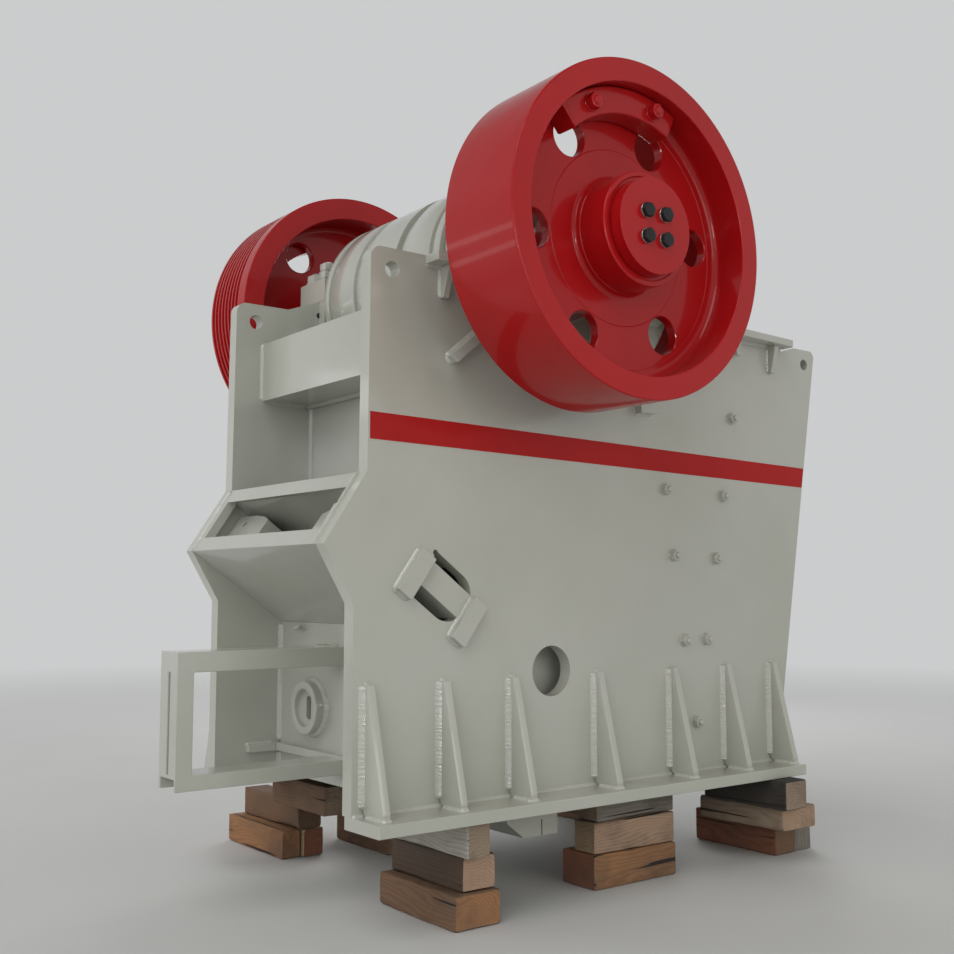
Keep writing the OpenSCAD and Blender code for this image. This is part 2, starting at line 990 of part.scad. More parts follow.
module wedge(dir) {
    on_thrust()
        translate([-block_u / 2 - seat, 0, -62])
            linear_extrude(height = 124)
                polygon([[0, dir * (y_in - 14)], [0, dir * (y_in - 340)],
                    [-wedge_t / 2, dir * (y_in - 340)],
                    [-wedge_t, dir * (y_in - 70)],
                    [-wedge_t, dir * (y_in - 14)]]);
}

module adjusting_wedges() {
    color(paint) place() {
        wedge(-1);
        wedge(1);
    }
}

module lug(x, z, a, l, w) {
    slab(-y_out - 60, 60)
        translate([x, z])
            rotate(a)
                translate([-l / 2, -w / 2])
                    square([l, w]);
}

// guide bars at both ends of the toggle slot, and lugs for a wheel guard
module lugs_side() {
    for (s = [-1, 1])
        slab(-y_out - 42, 42)
            translate([block_x, block_z])
                rotate(-thrust)
                    translate([s * (block_u / 2 + 47) - 45, -168])
                        square([90, 236]);
    lug(axle_x - 485, shaft_z - 492, 40, 240, 46);
    lug(axle_x + 745, shaft_z - 690, 3, 130, 50);
    lug(axle_x + 1500, shaft_z - 255, 90, 90, 40);
}

module side_lugs() {
    color(paint) place()
        both_sides()
            lugs_side();
}

// outer faces of the two side plates, from which the timbers are placed
near = -y_out;
far = y_out;

// the timbers of a stack, each as [x0, x1, y0, y1, row]; the heights at which
// its rows begin and end are counted in timber heights
module timbers(list, heights = [0, 1, 2, 3]) {
    for (t = list)
        box(t[0], t[1], t[2], t[3],
            -lift + heights[t[4]] * timber_h + (t[4] > 0 ? seat : 0),
            -lift + heights[t[4] + 1] * timber_h);
}

module rear_timbers() {
    color(wood) place() {
        timbers([[472, 739, near - 130, near + 500, 0],
            [530, 729, near - 105, near + 480, 1],
            [505, 640, near - 180, near + 430, 2]]);
        timbers([[540, 664, far + 170, far + 860, 0],
            [668, 805, far + 150, far + 830, 0],
            [620, 780, far + 130, far + 810, 1],
            [500, 670, far - 370, far + 225, 2]]);
    }
}

module middle_timbers() {
    m = axle_x + 383;
    color(wood) place() {
        timbers([[m, m + 605, near + 24, near + 280, 0],
            [m + 4, m + 595, near + 26, near + 190, 1],
            [m + 25, m + 597, near + 30, near + 185, 2]],
            [0, 1.1, 2.1, 3]);
        timbers([[m - 398, m - 213, far - 110, far + 480, 0],
            [m - 193, m + 217, far - 90, far + 170, 0],
            [m - 398, m + 217, far - 80, far + 170, 1],
            [m - 383, m + 207, far - 30, far + 200, 2]]);
    }
}

module front_timbers() {
    f = base_l;
    color(wood) place() {
        timbers([[f - 50, f + 135, near - 32, near + 580, 0],
            [f - 265, f + 35, near - 255, near + 350, 1],
            [f - 315, f - 124, near - 320, near + 270, 2]],
            [0, 1.2, 2, 3]);
        // a short block stands on end beside the lowest timber
        box(f + 135 + seat, f + 300, near - 25, near + 90,
            -lift, -lift + 1.5 * timber_h);
        timbers([[f - 250, f - 60, far - 430, far + 230, 0],
            [f - 270, f - 90, far - 410, far + 255, 1],
            [f - 300, f - 120, far - 330, far + 270, 2]]);
    }
}

side_plate_left();
side_plate_right();
base_flange_left();
base_flange_right();
gussets_left();
gussets_right();
bearing_shelf_left();
bearing_shelf_right();
front_wall();
front_ribs();
front_stiffeners();
lower_rear_wall();
rear_ledges();
rod_bosses();
toggle_box();
reaction_plate();
upper_rear_wall();
rear_beam();
rear_bracket();
bearing_housing_left();
bearing_housing_right();
bearing_cap_left();
bearing_cap_right();
eccentric_shaft();
flywheel();
drive_sheave();
counterweights();
hub_covers();
hub_bolts();
swing_jaw();
moving_die();
moving_die_wedge();
fixed_die();
fixed_die_wedge();
cheek_plate_left();
cheek_plate_right();
cheek_bolts();
toggle_block();
toggle_plate();
adjusting_wedges();
side_lugs();
rear_timbers();
middle_timbers();
front_timbers();
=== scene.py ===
# %% [markdown]
# # Dressing a jaw crusher
# A jaw crusher breaks rock between a fixed jaw and one that swings on an eccentric
# shaft. This one stands freshly painted on timber blocks: glossy off-white enamel on
# the welded frame, glossy red on the two heavy wheels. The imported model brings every
# plate and wheel at its real size, so this notebook only adds what the model can't
# hold: the finishes, the weld beads, the nuts and studs, and the worn timbers.

# %% Load the crusher
import json
import math
import random

import bmesh
import bpy
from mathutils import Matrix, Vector, noise


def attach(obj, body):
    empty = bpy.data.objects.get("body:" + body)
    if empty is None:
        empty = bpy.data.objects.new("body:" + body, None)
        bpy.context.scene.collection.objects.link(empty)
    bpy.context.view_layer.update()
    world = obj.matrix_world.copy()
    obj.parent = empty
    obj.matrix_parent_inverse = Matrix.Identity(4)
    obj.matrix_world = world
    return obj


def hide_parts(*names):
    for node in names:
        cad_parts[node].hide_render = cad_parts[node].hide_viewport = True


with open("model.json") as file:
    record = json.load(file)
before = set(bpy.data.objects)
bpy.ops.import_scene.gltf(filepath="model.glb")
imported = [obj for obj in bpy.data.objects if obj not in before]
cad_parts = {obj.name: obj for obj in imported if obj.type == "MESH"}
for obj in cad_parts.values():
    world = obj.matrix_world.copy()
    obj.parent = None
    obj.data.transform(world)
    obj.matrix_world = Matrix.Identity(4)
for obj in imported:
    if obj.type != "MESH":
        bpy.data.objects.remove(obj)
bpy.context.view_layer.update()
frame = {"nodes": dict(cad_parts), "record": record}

# %% [markdown]
# A workshop measures this frame from two edges: the lower rear corner of the side
# plates, and the underside of the base flange. The shared frame has its origin under
# the middle of the whole machine instead. One small function turns workshop
# measures into shared ones, so that all later numbers read like a drawing.

# %% Measures of the frame
PLATE_OUT = 0.730
PLATE_IN = 0.655
BASE_T = 0.058
BASE_L = 2.910
REAR_TO_ORIGIN = -1.42205
FLANGE_HEIGHT = 0.486
AXLE_X, AXLE_Z = 1.100, 2.730
SIDES = {"left": -1, "right": 1}


def at(x, y, z):
    """A workshop measure as a point of the shared frame, in metres."""
    return Vector((REAR_TO_ORIGIN + x, y, FLANGE_HEIGHT + z))


def spoke(angle):
    """A direction in the upright plane along the machine, turned up from forward."""
    return Vector((math.cos(angle), 0, math.sin(angle)))


def front_edge(z):
    """How far forward the leaning front edge of the side plates is at height z."""
    return 2.933 + 0.1815 * z


def fixed_face(z):
    """Where the fixed die's tooth tips are at height z."""
    return 2.323 + 0.199 * (z - 0.1)


def moving_face(z):
    """Where the moving die's tooth tips are at height z."""
    return 2.170 - 0.1625 * (z - 0.1)


print("wheel axle at", [round(c, 3) for c in at(AXLE_X, 0, AXLE_Z)])

# %% [markdown]
# ## The camera
# The photograph was taken from behind the machine's left corner, at eye height, with
# the camera tilted up a little. The angle and the distance were worked out from the
# parallel edges of the frame, so the camera stands at that same point.

# %% Camera
def put_in_scene(name, data):
    """A new object of the scene that shows this data."""
    obj = bpy.data.objects.new(name, data)
    bpy.context.scene.collection.objects.link(obj)
    return obj


camera_data = bpy.data.cameras.new("workshop_camera")
camera_data.sensor_width = 36.0
camera_data.lens = 44.23
camera = put_in_scene("workshop_camera", camera_data)
camera.location = (-4.194, -5.237, 1.548)
turn_right, look_up = 0.6561, 0.0949
camera.rotation_euler = (math.pi / 2 + look_up, 0, -turn_right)
bpy.context.scene.camera = camera
print("camera", round(camera.location.length, 2), "m from the origin")

# %% [markdown]
# ## Finishes
# Every finish is a small node network in object coordinates. The frame's pieces all
# sit in one shared frame, so a pattern runs on from plate to plate at the right scale.
# A few helpers keep each recipe short.

# %% Finish helpers
def fill(tree, node, inputs):
    """Gives a node its inputs, each a plain value or the output of another node."""
    for socket, value in dict(inputs).items():
        if isinstance(value, bpy.types.NodeSocket):
            tree.links.new(value, node.inputs[socket])
        else:
            node.inputs[socket].default_value = value


def add_node(tree, kind, inputs=(), **settings):
    """A new node of one kind, with its settings and inputs."""
    node = tree.nodes.new(kind)
    for setting, value in settings.items():
        setattr(node, setting, value)
    fill(tree, node, inputs)
    return node


def new_finish(name):
    """An empty node material: the material, its tree and its main shader."""
    finish = bpy.data.materials.new(name)
    finish.use_nodes = True
    tree = finish.node_tree
    tree.nodes.clear()
    shader = tree.nodes.new("ShaderNodeBsdfPrincipled")
    add_node(tree, "ShaderNodeOutputMaterial", {"Surface": shader.outputs["BSDF"]})
    return finish, tree, shader


def cloud(tree, coords, scale, detail=3.0, rough=0.55, stretch=None):
    """A noise pattern of a given scale, in lumps per metre, from 0 to 1."""
    if stretch is not None:
        mapping = add_node(tree, "ShaderNodeMapping", {"Vector": coords, "Scale": stretch})
        coords = mapping.outputs["Vector"]
    pattern = {"Vector": coords, "Scale": scale, "Detail": detail, "Roughness": rough}
    return add_node(tree, "ShaderNodeTexNoise", pattern).outputs["Fac"]


def between(tree, value, low, high, to_low=0.0, to_high=1.0):
    """Stretches the part of value between low and high to a new range, and clamps it."""
    spread = {"Value": value, "From Min": low, "From Max": high,
              "To Min": to_low, "To Max": to_high}
    return add_node(tree, "ShaderNodeMapRange", spread).outputs["Result"]


def blend_colours(tree, amount, first, second):
    """Mixes two colours. Each is four numbers or the output of another node."""
    inputs = {0: amount, 6: first, 7: second}
    return add_node(tree, "ShaderNodeMix", inputs, data_type="RGBA").outputs[2]


def reckon(tree, operation, *values):
    """One sum on patterns or numbers, such as ADD, MULTIPLY, MAXIMUM or SINE."""
    inputs = dict(enumerate(values))
    return add_node(tree, "ShaderNodeMath", inputs, operation=operation).outputs[0]


def roughen(tree, shader, layers):
    """Stacks bump layers, each (pattern, depth in metres), on the shader's normal."""
    below = {}
    for pattern, depth in layers:
        bump = add_node(tree, "ShaderNodeBump", {"Height": pattern, "Distance": depth, **below})
        below = {"Normal": bump.outputs["Normal"]}
    fill(tree, shader, below)


# %% [markdown]
# ## Light
# Gloss paint needs large soft lamps, because their reflections are what shows the
# gloss. The hall of the photograph has its windows low down on the left and a dark
# roof, so faces that look up stay darker than a studio would make them. A wide lamp at
# window height stands on either side of the rear. Both give light but no mirror image.
# Narrow rows of panes beside them are what the gloss reflects, as thin streaks on the
# rim, and a small bright lamp behind the camera makes the weld beads sparkle. Two more
# fill the near and the far side, and only a faint one comes from above. The world glows
# from the side and fades overhead, in the light that it gives as well as in what the
# camera and the reflections see of it.

# %% Lamps
def soft_lamp(name, place, aim, size, watts):
    """A rectangular area lamp at place, turned to look at aim."""
    data = bpy.data.lights.new(name, "AREA")
    data.shape = "RECTANGLE"
    data.size, data.size_y = size
    data.energy = watts
    lamp = put_in_scene(name, data)
    lamp.location = place
    lamp.rotation_euler = (Vector(aim) - Vector(place)).to_track_quat("-Z", "Y").to_euler()
    return lamp


PLATES, HEAD = (0, 0, 1.8), (0, 0, 2.2)
window_row = soft_lamp("window_row", (-7.6, -4.6, 3.2), PLATES, (6.0, 3.0), 72)
window_row.visible_glossy = False
for pane, height in (("lower_panes", 2.9), ("upper_panes", 4.1)):
    soft_lamp(pane, (-7.6, -4.6, height), PLATES, (6.0, 0.45), 9)
near_fill = soft_lamp("near_fill", (0.4, -10.4, 3.8), PLATES, (6.0, 3.5), 122)
near_fill.data.color = (1.0, 0.985, 0.91)
soft_lamp("far_fill", (6.5, 7.0, 5.0), (0, 0, 2.0), (5.0, 4.0), 205)
left_windows = soft_lamp("left_windows", (-6.3, 5.2, 3.2), HEAD, (4.0, 2.4), 74)
left_windows.visible_glossy = False
for pane, height in (("left_lower_panes", 2.6), ("left_upper_panes", 3.9)):
    soft_lamp(pane, (-6.3, 5.2, height), HEAD, (4.0, 0.40), 6)
open_door = soft_lamp("open_door", (-6.2, -8.2, 3.0), (0, 0, 1.0), (0.9, 1.4), 110)
open_door.visible_diffuse = False

daylight = bpy.data.lights.new("roof_daylight", "SUN")
daylight.energy = 0.8
daylight.angle = math.radians(40)
roof = put_in_scene("roof_daylight", daylight)
roof.rotation_euler = (math.radians(38), 0, math.radians(-62))

# %% [markdown]
# The world has two faces. One gives the soft light that comes from all round. The other
# is what the camera and the gloss see: a plain tone of air, so that the background
# stays calm. Light Path tells the two kinds of ray apart.

# %% World
AIR_TONE = (0.60, 0.605, 0.61, 1)

world = bpy.data.worlds.new("workshop_air")
bpy.context.scene.world = world
world.use_nodes = True
air = world.node_tree
air.nodes.clear()
direction = air.nodes.new("ShaderNodeTexCoord").outputs["Generated"]
compass = add_node(air, "ShaderNodeSeparateXYZ", {"Vector": direction})
overhead = between(air, compass.outputs["Z"], 0.47, 0.85)
glow_tone = blend_colours(air, overhead, (0.98, 0.98, 0.95, 1), (0.34, 0.35, 0.36, 1))
glow = add_node(air, "ShaderNodeBackground", {"Color": glow_tone, "Strength": 0.63})
seen_tone = blend_colours(air, overhead, AIR_TONE, (0.10, 0.10, 0.105, 1))
seen = add_node(air, "ShaderNodeBackground", {"Color": seen_tone})
rays = air.nodes.new("ShaderNodeLightPath").outputs
looked_at = reckon(air, "MAXIMUM", rays["Is Camera Ray"], rays["Is Glossy Ray"])
looked_at = reckon(air, "MAXIMUM", looked_at, rays["Is Transmission Ray"])
choose = add_node(air, "ShaderNodeMixShader",
                  {"Fac": looked_at, 1: glow.outputs[0], 2: seen.outputs[0]})
add_node(air, "ShaderNodeOutputWorld", {"Surface": choose.outputs[0]})
bpy.context.scene.view_settings.view_transform = "Standard"
print("world:", len(air.nodes), "nodes")

# %% [markdown]
# **Enamel.** The plates are sprayed with thick gloss enamel over hot-rolled steel.
# Close up it has a fine orange peel, further off the plate under it is not quite
# flat, and the tint drifts a little. Workshop dust settles on faces that look up.
# Two tints mixed by slow noise, a clear coat, and two bump scales give all of that.
# On the weld beads the same paint runs over a lumpy surface and stays wetter, which
# is where their sparkle comes from; its colour is also mixed lighter, a painted highlight.

# %% Enamel
WORKSHOP_DUST = (0.30, 0.27, 0.21, 1)


def enamel(name, colour, shade, dusty, roughness=0.30, coat=0.80, specular=0.5,
           peel=(260.0, 0.00012)):
    """Sprayed enamel in two close tints, with dust on the faces that look up."""
    finish, tree, shader = new_finish(name)
    where = tree.nodes.new("ShaderNodeTexCoord")
    place = where.outputs["Object"]
    drift = between(tree, cloud(tree, place, 1.1, 4.0), 0.35, 0.68)
    tint = blend_colours(tree, drift, colour, shade)
    facing = add_node(tree, "ShaderNodeSeparateXYZ", {"Vector": where.outputs["Normal"]})
    upward = between(tree, facing.outputs["Z"], 0.55, 1.0)
    grains = between(tree, cloud(tree, place, 9.0, 6.0, 0.7), 0.42, 0.75, 0.15, dusty)
    dust = reckon(tree, "MULTIPLY", upward, grains)
    gloss = cloud(tree, place, 3.0, 5.0, 0.6)
    fill(tree, shader, {
        "Base Color": blend_colours(tree, dust, tint, WORKSHOP_DUST),
        "Roughness": between(tree, gloss, 0.1, 0.9, roughness - 0.03, roughness + 0.11),
        "Specular IOR Level": specular, "Coat Weight": coat, "Coat Roughness": 0.08})
    roughen(tree, shader, [(cloud(tree, place, 2.2, 2.0), 0.012),
                           (cloud(tree, place, peel[0], 1.0), peel[1])])
    return finish


pale_enamel = enamel("pale_enamel", (0.475, 0.482, 0.432, 1), (0.428, 0.436, 0.376, 1), 0.35)
red_enamel = enamel("red_enamel", (0.430, 0.006, 0.008, 1), (0.370, 0.005, 0.007, 1),
                    0.03, 0.29, 0.45, 0.12)
stripe_enamel = enamel("stripe_enamel", (0.440, 0.010, 0.010, 1), (0.390, 0.008, 0.009, 1),
                       0.0, 0.34, 0.15, 0.12)
black_enamel = enamel("black_enamel", (0.012, 0.012, 0.014, 1), (0.020, 0.020, 0.021, 1),
                      0.05, 0.46, 0.05, 0.3)
# Painted highlight: the beads' tints are lighter than the plates' enamel, for their glints.
weld_enamel_painted_highlight = enamel("weld_enamel_painted_highlight", (0.520, 0.525, 0.480, 1), (0.470, 0.476, 0.420, 1),
                     0.0, 0.16, 1.0, 0.6, (95.0, 0.004))
print("enamels:", [m.name for m in bpy.data.materials])

# %% [markdown]
# **Bare steel.** The shaft and the toggle are turned and rubbed bright, with fine
# tool marks round them. The dies and cheek plates are cast in manganese steel, which
# comes out of the sand dark and pitted and browns in the air.

# %% Bare steel
def bright_steel(name):
    """Turned steel: grey, with tool marks along the shaft's turning direction."""
    finish, tree, shader = new_finish(name)
    place = tree.nodes.new("ShaderNodeTexCoord").outputs["Object"]
    marks = cloud(tree, place, 60.0, 3.0, 0.6, (0.05, 6.0, 0.05))
    oil = between(tree, cloud(tree, place, 4.0, 5.0, 0.65), 0.4, 0.7)
    fill(tree, shader, {
        "Base Color": blend_colours(tree, oil, (0.42, 0.42, 0.41, 1), (0.25, 0.23, 0.20, 1)),
        "Metallic": 1.0, "Roughness": between(tree, marks, 0.3, 0.7, 0.28, 0.46)})
    roughen(tree, shader, [(marks, 0.0004)])
    return finish


def cast_manganese(name):
    """Sand-cast manganese steel: dark, pitted, with a thin brown bloom."""
    finish, tree, shader = new_finish(name)
    place = tree.nodes.new("ShaderNodeTexCoord").outputs["Object"]
    bloom = between(tree, cloud(tree, place, 5.0, 6.0, 0.7), 0.42, 0.66)
    pits = cloud(tree, place, 70.0, 4.0, 0.6)
    rust = blend_colours(tree, bloom, (0.085, 0.080, 0.075, 1), (0.150, 0.090, 0.055, 1))
    fill(tree, shader, {"Base Color": rust, "Metallic": 0.55,
                        "Roughness": between(tree, pits, 0.3, 0.7, 0.48, 0.72)})
    roughen(tree, shader, [(cloud(tree, place, 12.0, 3.0), 0.004), (pits, 0.0012)])
    return finish


turned_steel = bright_steel("turned_steel")
die_steel = cast_manganese("die_steel")
print("steels:", turned_steel.name, die_steel.name)

# %% [markdown]
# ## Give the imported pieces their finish
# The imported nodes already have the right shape, so they stay. Cut plate never has a
# knife-sharp edge, and a thin bright line along each edge is what makes steel look
# like steel. A weld modifier joins the facets, a bevel modifier rounds each sharp
# edge by a few millimetres, and weighted normals keep the flat faces flat.

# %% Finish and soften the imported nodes
SLOT_FINISH = {"pale_paint": pale_enamel, "red_paint": red_enamel, "black_paint": black_enamel,
               "machined_steel": turned_steel, "manganese_steel": die_steel}
EDGE_ROUND = {"flywheel": 0.006, "drive_sheave": 0.003, "swing_jaw": 0.006, "hub_covers": 0.006,
              "counterweights": 0.010, "rod_bosses": 0.008, "cheek_bolts": 0.003,
              "moving_die": 0.006, "fixed_die": 0.006}


def soften(obj, width):
    """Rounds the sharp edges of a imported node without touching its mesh."""
    join = obj.modifiers.new("join_facets", "WELD")
    join.merge_threshold = 0.00005
    edge = obj.modifiers.new("round_edges", "BEVEL")
    edge.width = width
    edge.segments = 2
    edge.limit_method = "ANGLE"
    edge.angle_limit = math.radians(35)
    edge.miter_outer = "MITER_ARC"
    keep_flat = obj.modifiers.new("keep_flat", "WEIGHTED_NORMAL")
    keep_flat.keep_sharp = False
    keep_flat.weight = 80


slot_of = {row["node"]: row["material_slot"] for row in frame["record"]["subparts"]}
for name, obj in frame["nodes"].items():
    if slot_of[name] in SLOT_FINISH:
        obj.data.materials.clear()
        obj.data.materials.append(SLOT_FINISH[slot_of[name]])
        soften(obj, EDGE_ROUND.get(name, 0.004))
print("finished", len(slot_of), "nodes in", len(set(slot_of.values())), "slots")

# %% [markdown]
# ## Building pieces in mesh code
# Three small builders cover nearly everything that is added. A lathe spins a profile
# round an axis, for washers, studs and wheels. A hex builder makes nuts and bolt
# heads with the chamfered corners of real ones. A bead builder runs a weld along a
# corner. Each adds to a bmesh, so many small things can share one piece.

# %% Piece helpers
def to_mesh(name, mesh_work):
    """Turns a bmesh into a mesh of its own."""
    mesh = bpy.data.meshes.new(name)
    mesh_work.to_mesh(mesh)
    mesh_work.free()
    return mesh


def shade_smooth(mesh, sharp_over):
    """Smooth shading that stays sharp at edges over an angle in degrees."""
    mesh.polygons.foreach_set("use_smooth", [True] * len(mesh.polygons))
    mesh.set_sharp_from_angle(angle=math.radians(sharp_over))


def finish_piece(name, mesh_work, finish, body="frame", sharp_over=35):
    """Turns a bmesh into a named piece with the given finish, riding on a body."""
    bmesh.ops.recalc_face_normals(mesh_work, faces=mesh_work.faces)
    mesh = to_mesh(name, mesh_work)
    mesh.materials.append(finish)
    shade_smooth(mesh, sharp_over)
    obj = put_in_scene(name, mesh)
    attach(obj, body)
    return obj


def upright_pair(axis):
    """Two directions at right angles to axis and to each other."""
    axis = Vector(axis).normalized()
    across = axis.orthogonal().normalized()
    if abs(axis.z) < 0.9:
        across = axis.cross(Vector((0, 0, 1))).normalized()
    return across, axis.cross(across).normalized()


def loft(mesh_work, rings, closed=False):
    """Skins rings of points. A closed loft joins the last ring to the first."""
    rows = [[mesh_work.verts.new(p) for p in ring] for ring in rings]
    count = len(rows[0])
    pairs = list(zip(rows, rows[1:]))
    if closed:
        pairs.append((rows[-1], rows[0]))
    for low, high in pairs:
        for i in range(count):
            j = (i + 1) % count
            mesh_work.faces.new((low[i], low[j], high[j], high[i]))
    if not closed:
        mesh_work.faces.new(rows[0])
        mesh_work.faces.new(list(reversed(rows[-1])))


def arms_round(axis, steps):
    """Evenly spaced directions all round an axis."""
    across, up = upright_pair(axis)
    return [across * math.cos(a) + up * math.sin(a)
            for a in (2 * math.pi * i / steps for i in range(steps))]


def lathe(mesh_work, centre, axis, profile, steps, closed=False):
    """Spins a profile of (radius, height) round an axis through centre."""
    axis = Vector(axis).normalized()
    arms = arms_round(axis, steps)
    loft(mesh_work, [[Vector(centre) + axis * height + arm * radius for arm in arms]
                     for radius, height in profile], closed)


def hexagon(mesh_work, centre, axis, across_flats, height, turn):
    """A hexagon nut or head whose top corners are chamfered as on a turned blank."""
    axis = Vector(axis).normalized()
    across, up = upright_pair(axis)
    corner = across_flats / math.sqrt(3)
    flat = across_flats / 2
    rings = []
    for level, corner_r, flat_r in ((0.0, corner, flat),
                                    (height * 0.84, corner, flat),
                                    (height * 0.96, corner * 0.92, flat),
                                    (height, flat * 0.93, flat * 0.93)):
        ring = []
        for i in range(12):
            angle = turn + i * math.pi / 6
            radius = corner_r if i % 2 == 0 else flat_r
            ring.append(Vector(centre) + axis * level
                        + (across * math.cos(angle) + up * math.sin(angle)) * radius)
        rings.append(ring)
    loft(mesh_work, rings)


def washer(mesh_work, centre, axis, radius, thickness):
    """A flat round washer with a rounded rim."""
    soft = thickness * 0.3
    lathe(mesh_work, centre, axis, [(radius, 0), (radius, thickness - soft),
                                    (radius - soft, thickness), (radius * 0.3, thickness)], 28)


def stud_end(mesh_work, centre, axis, radius, length):
    """The threaded end of a stud, with a coarse thread and a chamfered tip."""
    pitch = radius * 0.28
    turns = max(2, int(length / pitch))
    profile = [(radius * 0.90, 0.0)]
    for i in range(turns):
        profile.append((radius, (i + 0.5) * length / turns))
        profile.append((radius * 0.90, (i + 1.0) * length / turns))
    profile.append((radius * 0.72, length + pitch * 0.5))
    lathe(mesh_work, centre, axis, profile, 20)


def nut_on_washer(mesh_work, centre, axis, size, turn, tail):
    """Washer, nut and the stud end that sticks out, for a thread of a given size."""
    axis = Vector(axis).normalized()
    centre = Vector(centre)
    washer(mesh_work, centre, axis, size * 1.02, size * 0.14)
    hexagon(mesh_work, centre + axis * size * 0.14, axis, size * 1.55, size * 0.8, turn)
    stud_end(mesh_work, centre + axis * size * 0.92, axis, size * 0.5, size * tail)


# %% [markdown]
# ## Weld beads
# The frame is a weldment, and its long fillet welds catch the light more than any
# other detail. A real bead is a chain of shallow ripples, each a little different.
# The builder sweeps a fillet section along a path and lets its size rise and fall a
# few hundredths once per ripple, with a small random share. It could be a bump on a
# plain strip, but then the silhouette and the glints would be too smooth.

# %% Weld builder
welder = random.Random(41)
RIPPLE = 0.0085
FORWARD, BACK = Vector((1, 0, 0)), Vector((-1, 0, 0))
UP, DOWN = Vector((0, 0, 1)), Vector((0, 0, -1))
OUTWARD = {side: Vector((0, s, 0)) for side, s in SIDES.items()}


def sweep_bead(mesh_work, path, size, closed=False):
    """A fillet weld along a path of (point, leg a, leg b), a third of a ripple apart."""
    rings = []
    swell = 1.0
    for i, (p, leg_a, leg_b) in enumerate(path):
        if i % 3 == 0:
            swell = 1.0 + welder.uniform(-0.04, 0.04)
        wave = swell * (1.0 + (0.0, 0.06, 0.03)[i % 3])
        ends = 1.0 if closed else min(1.0, 0.5 + 0.5 * min(i, len(path) - 1 - i) / 4)
        s = size * wave * ends
        crown = (leg_a + leg_b).normalized()
        rings.append([p - crown * 0.25 * size, p + leg_a * s,
                      p + leg_a * s * 0.76 + leg_b * s * 0.36,
                      p + (leg_a + leg_b) * s * 0.59,
                      p + leg_b * s * 0.76 + leg_a * s * 0.36, p + leg_b * s])
    loft(mesh_work, rings, closed=closed)


def bead(mesh_work, start, end, leg_a, leg_b, size):
    """A straight fillet weld in the corner between directions a and b."""
    start, end = Vector(start), Vector(end)
    legs = Vector(leg_a).normalized(), Vector(leg_b).normalized()
    steps = max(6, int(round(3 * (end - start).length / RIPPLE)))
    sweep_bead(mesh_work, [(start.lerp(end, i / steps), *legs) for i in range(steps + 1)], size)


def ring_bead(mesh_work, centre, axis, radius, size):
    """A fillet weld round the foot of a round boss that stands up along axis."""
    axis = Vector(axis).normalized()
    steps = int(round(2 * math.pi * radius / RIPPLE)) * 3
    path = [(Vector(centre) + arm * radius, arm, axis) for arm in arms_round(axis, steps)]
    sweep_bead(mesh_work, path, size, closed=True)


def weld_piece(name, mesh_work):
    """A piece of weld beads on the frame, shaded round across the ripples."""
    return finish_piece(name, mesh_work, weld_enamel_painted_highlight, sharp_over=60)


print("one ripple every", RIPPLE * 1000, "mm")

# %% [markdown]
# ## Gussets
# Seven tapered gussets brace each side plate on its flange. Their inner foot corner is
# cut away, the cope, so that the long weld between plate and flange can run past, and
# their outer foot stops short of the flange's edge to leave room for a weld there too.
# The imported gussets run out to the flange's edge and have square edges. Here they are
# cut again from an outline, with rounded edges, at the places read off the photograph.

# %% Gusset plates and their welds
GUSSET_T = 0.040
GUSSET_REACH, GUSSET_TIP, GUSSET_TOP = 0.172, 0.036, 0.633
COPE = 0.030
GUSSET_STARTS = [0.055, 0.475, 0.892, 1.460, 2.021, 2.463, 2.868]


def cut_plate(mesh_work, outline, thickness, radius):
    """A plate cut from an outline of points, thickened along a vector, edges rounded."""
    near = [mesh_work.verts.new(p) for p in outline]
    far = [mesh_work.verts.new(p + thickness) for p in outline]
    mesh_work.faces.new(near)
    mesh_work.faces.new(list(reversed(far)))
    for i in range(len(near)):
        j = (i + 1) % len(near)
        mesh_work.faces.new((near[j], near[i], far[i], far[j]))
    edges = list({edge for vert in near + far for edge in vert.link_edges})
    bmesh.ops.bevel(mesh_work, geom=edges, offset=radius, segments=2, profile=0.5, affect="EDGES")


for side, s in SIDES.items():
    out = OUTWARD[side]
    near_y, far_y = s * PLATE_OUT, s * (PLATE_OUT + GUSSET_REACH)
    work, welds = bmesh.new(), bmesh.new()
    for x in GUSSET_STARTS:
        end = x + GUSSET_T
        outline = [at(x, s * (PLATE_OUT + reach), z) for reach, z in (
            (0.0, BASE_T + COPE), (0.0, GUSSET_TOP), (GUSSET_TIP, GUSSET_TOP),
            (GUSSET_REACH, BASE_T + 0.030), (GUSSET_REACH, BASE_T), (COPE, BASE_T))]
        cut_plate(work, outline, Vector((GUSSET_T, 0, 0)), 0.003)
        for face, away in ((x, BACK), (end, FORWARD)):
            bead(welds, at(face, near_y, BASE_T + COPE + 0.004),
                 at(face, near_y, GUSSET_TOP - 0.002), away, out, 0.022)
            bead(welds, at(face, s * (PLATE_OUT + COPE + 0.004), BASE_T),
                 at(face, far_y, BASE_T), away, UP, 0.013)
        bead(welds, at(x - 0.006, far_y, BASE_T), at(end + 0.006, far_y, BASE_T), out, UP, 0.015)
        bead(welds, at(x + 0.002, near_y, GUSSET_TOP), at(end - 0.002, near_y, GUSSET_TOP),
             out, UP, 0.014)
    plates = finish_piece(f"gusset_plates_{side}", work, pale_enamel)
    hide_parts(f"gussets_{side}")
    weld_piece(f"gusset_welds_{side}", welds)
print("welded", 2 * len(GUSSET_STARTS), "gussets")

# %% [markdown]
# The shelves under the bearings are welded along their lower edge, and each bracket
# below them down both its faces. The frame's cross pieces, which sit between the two
# side plates, are welded where their ends meet the plates.

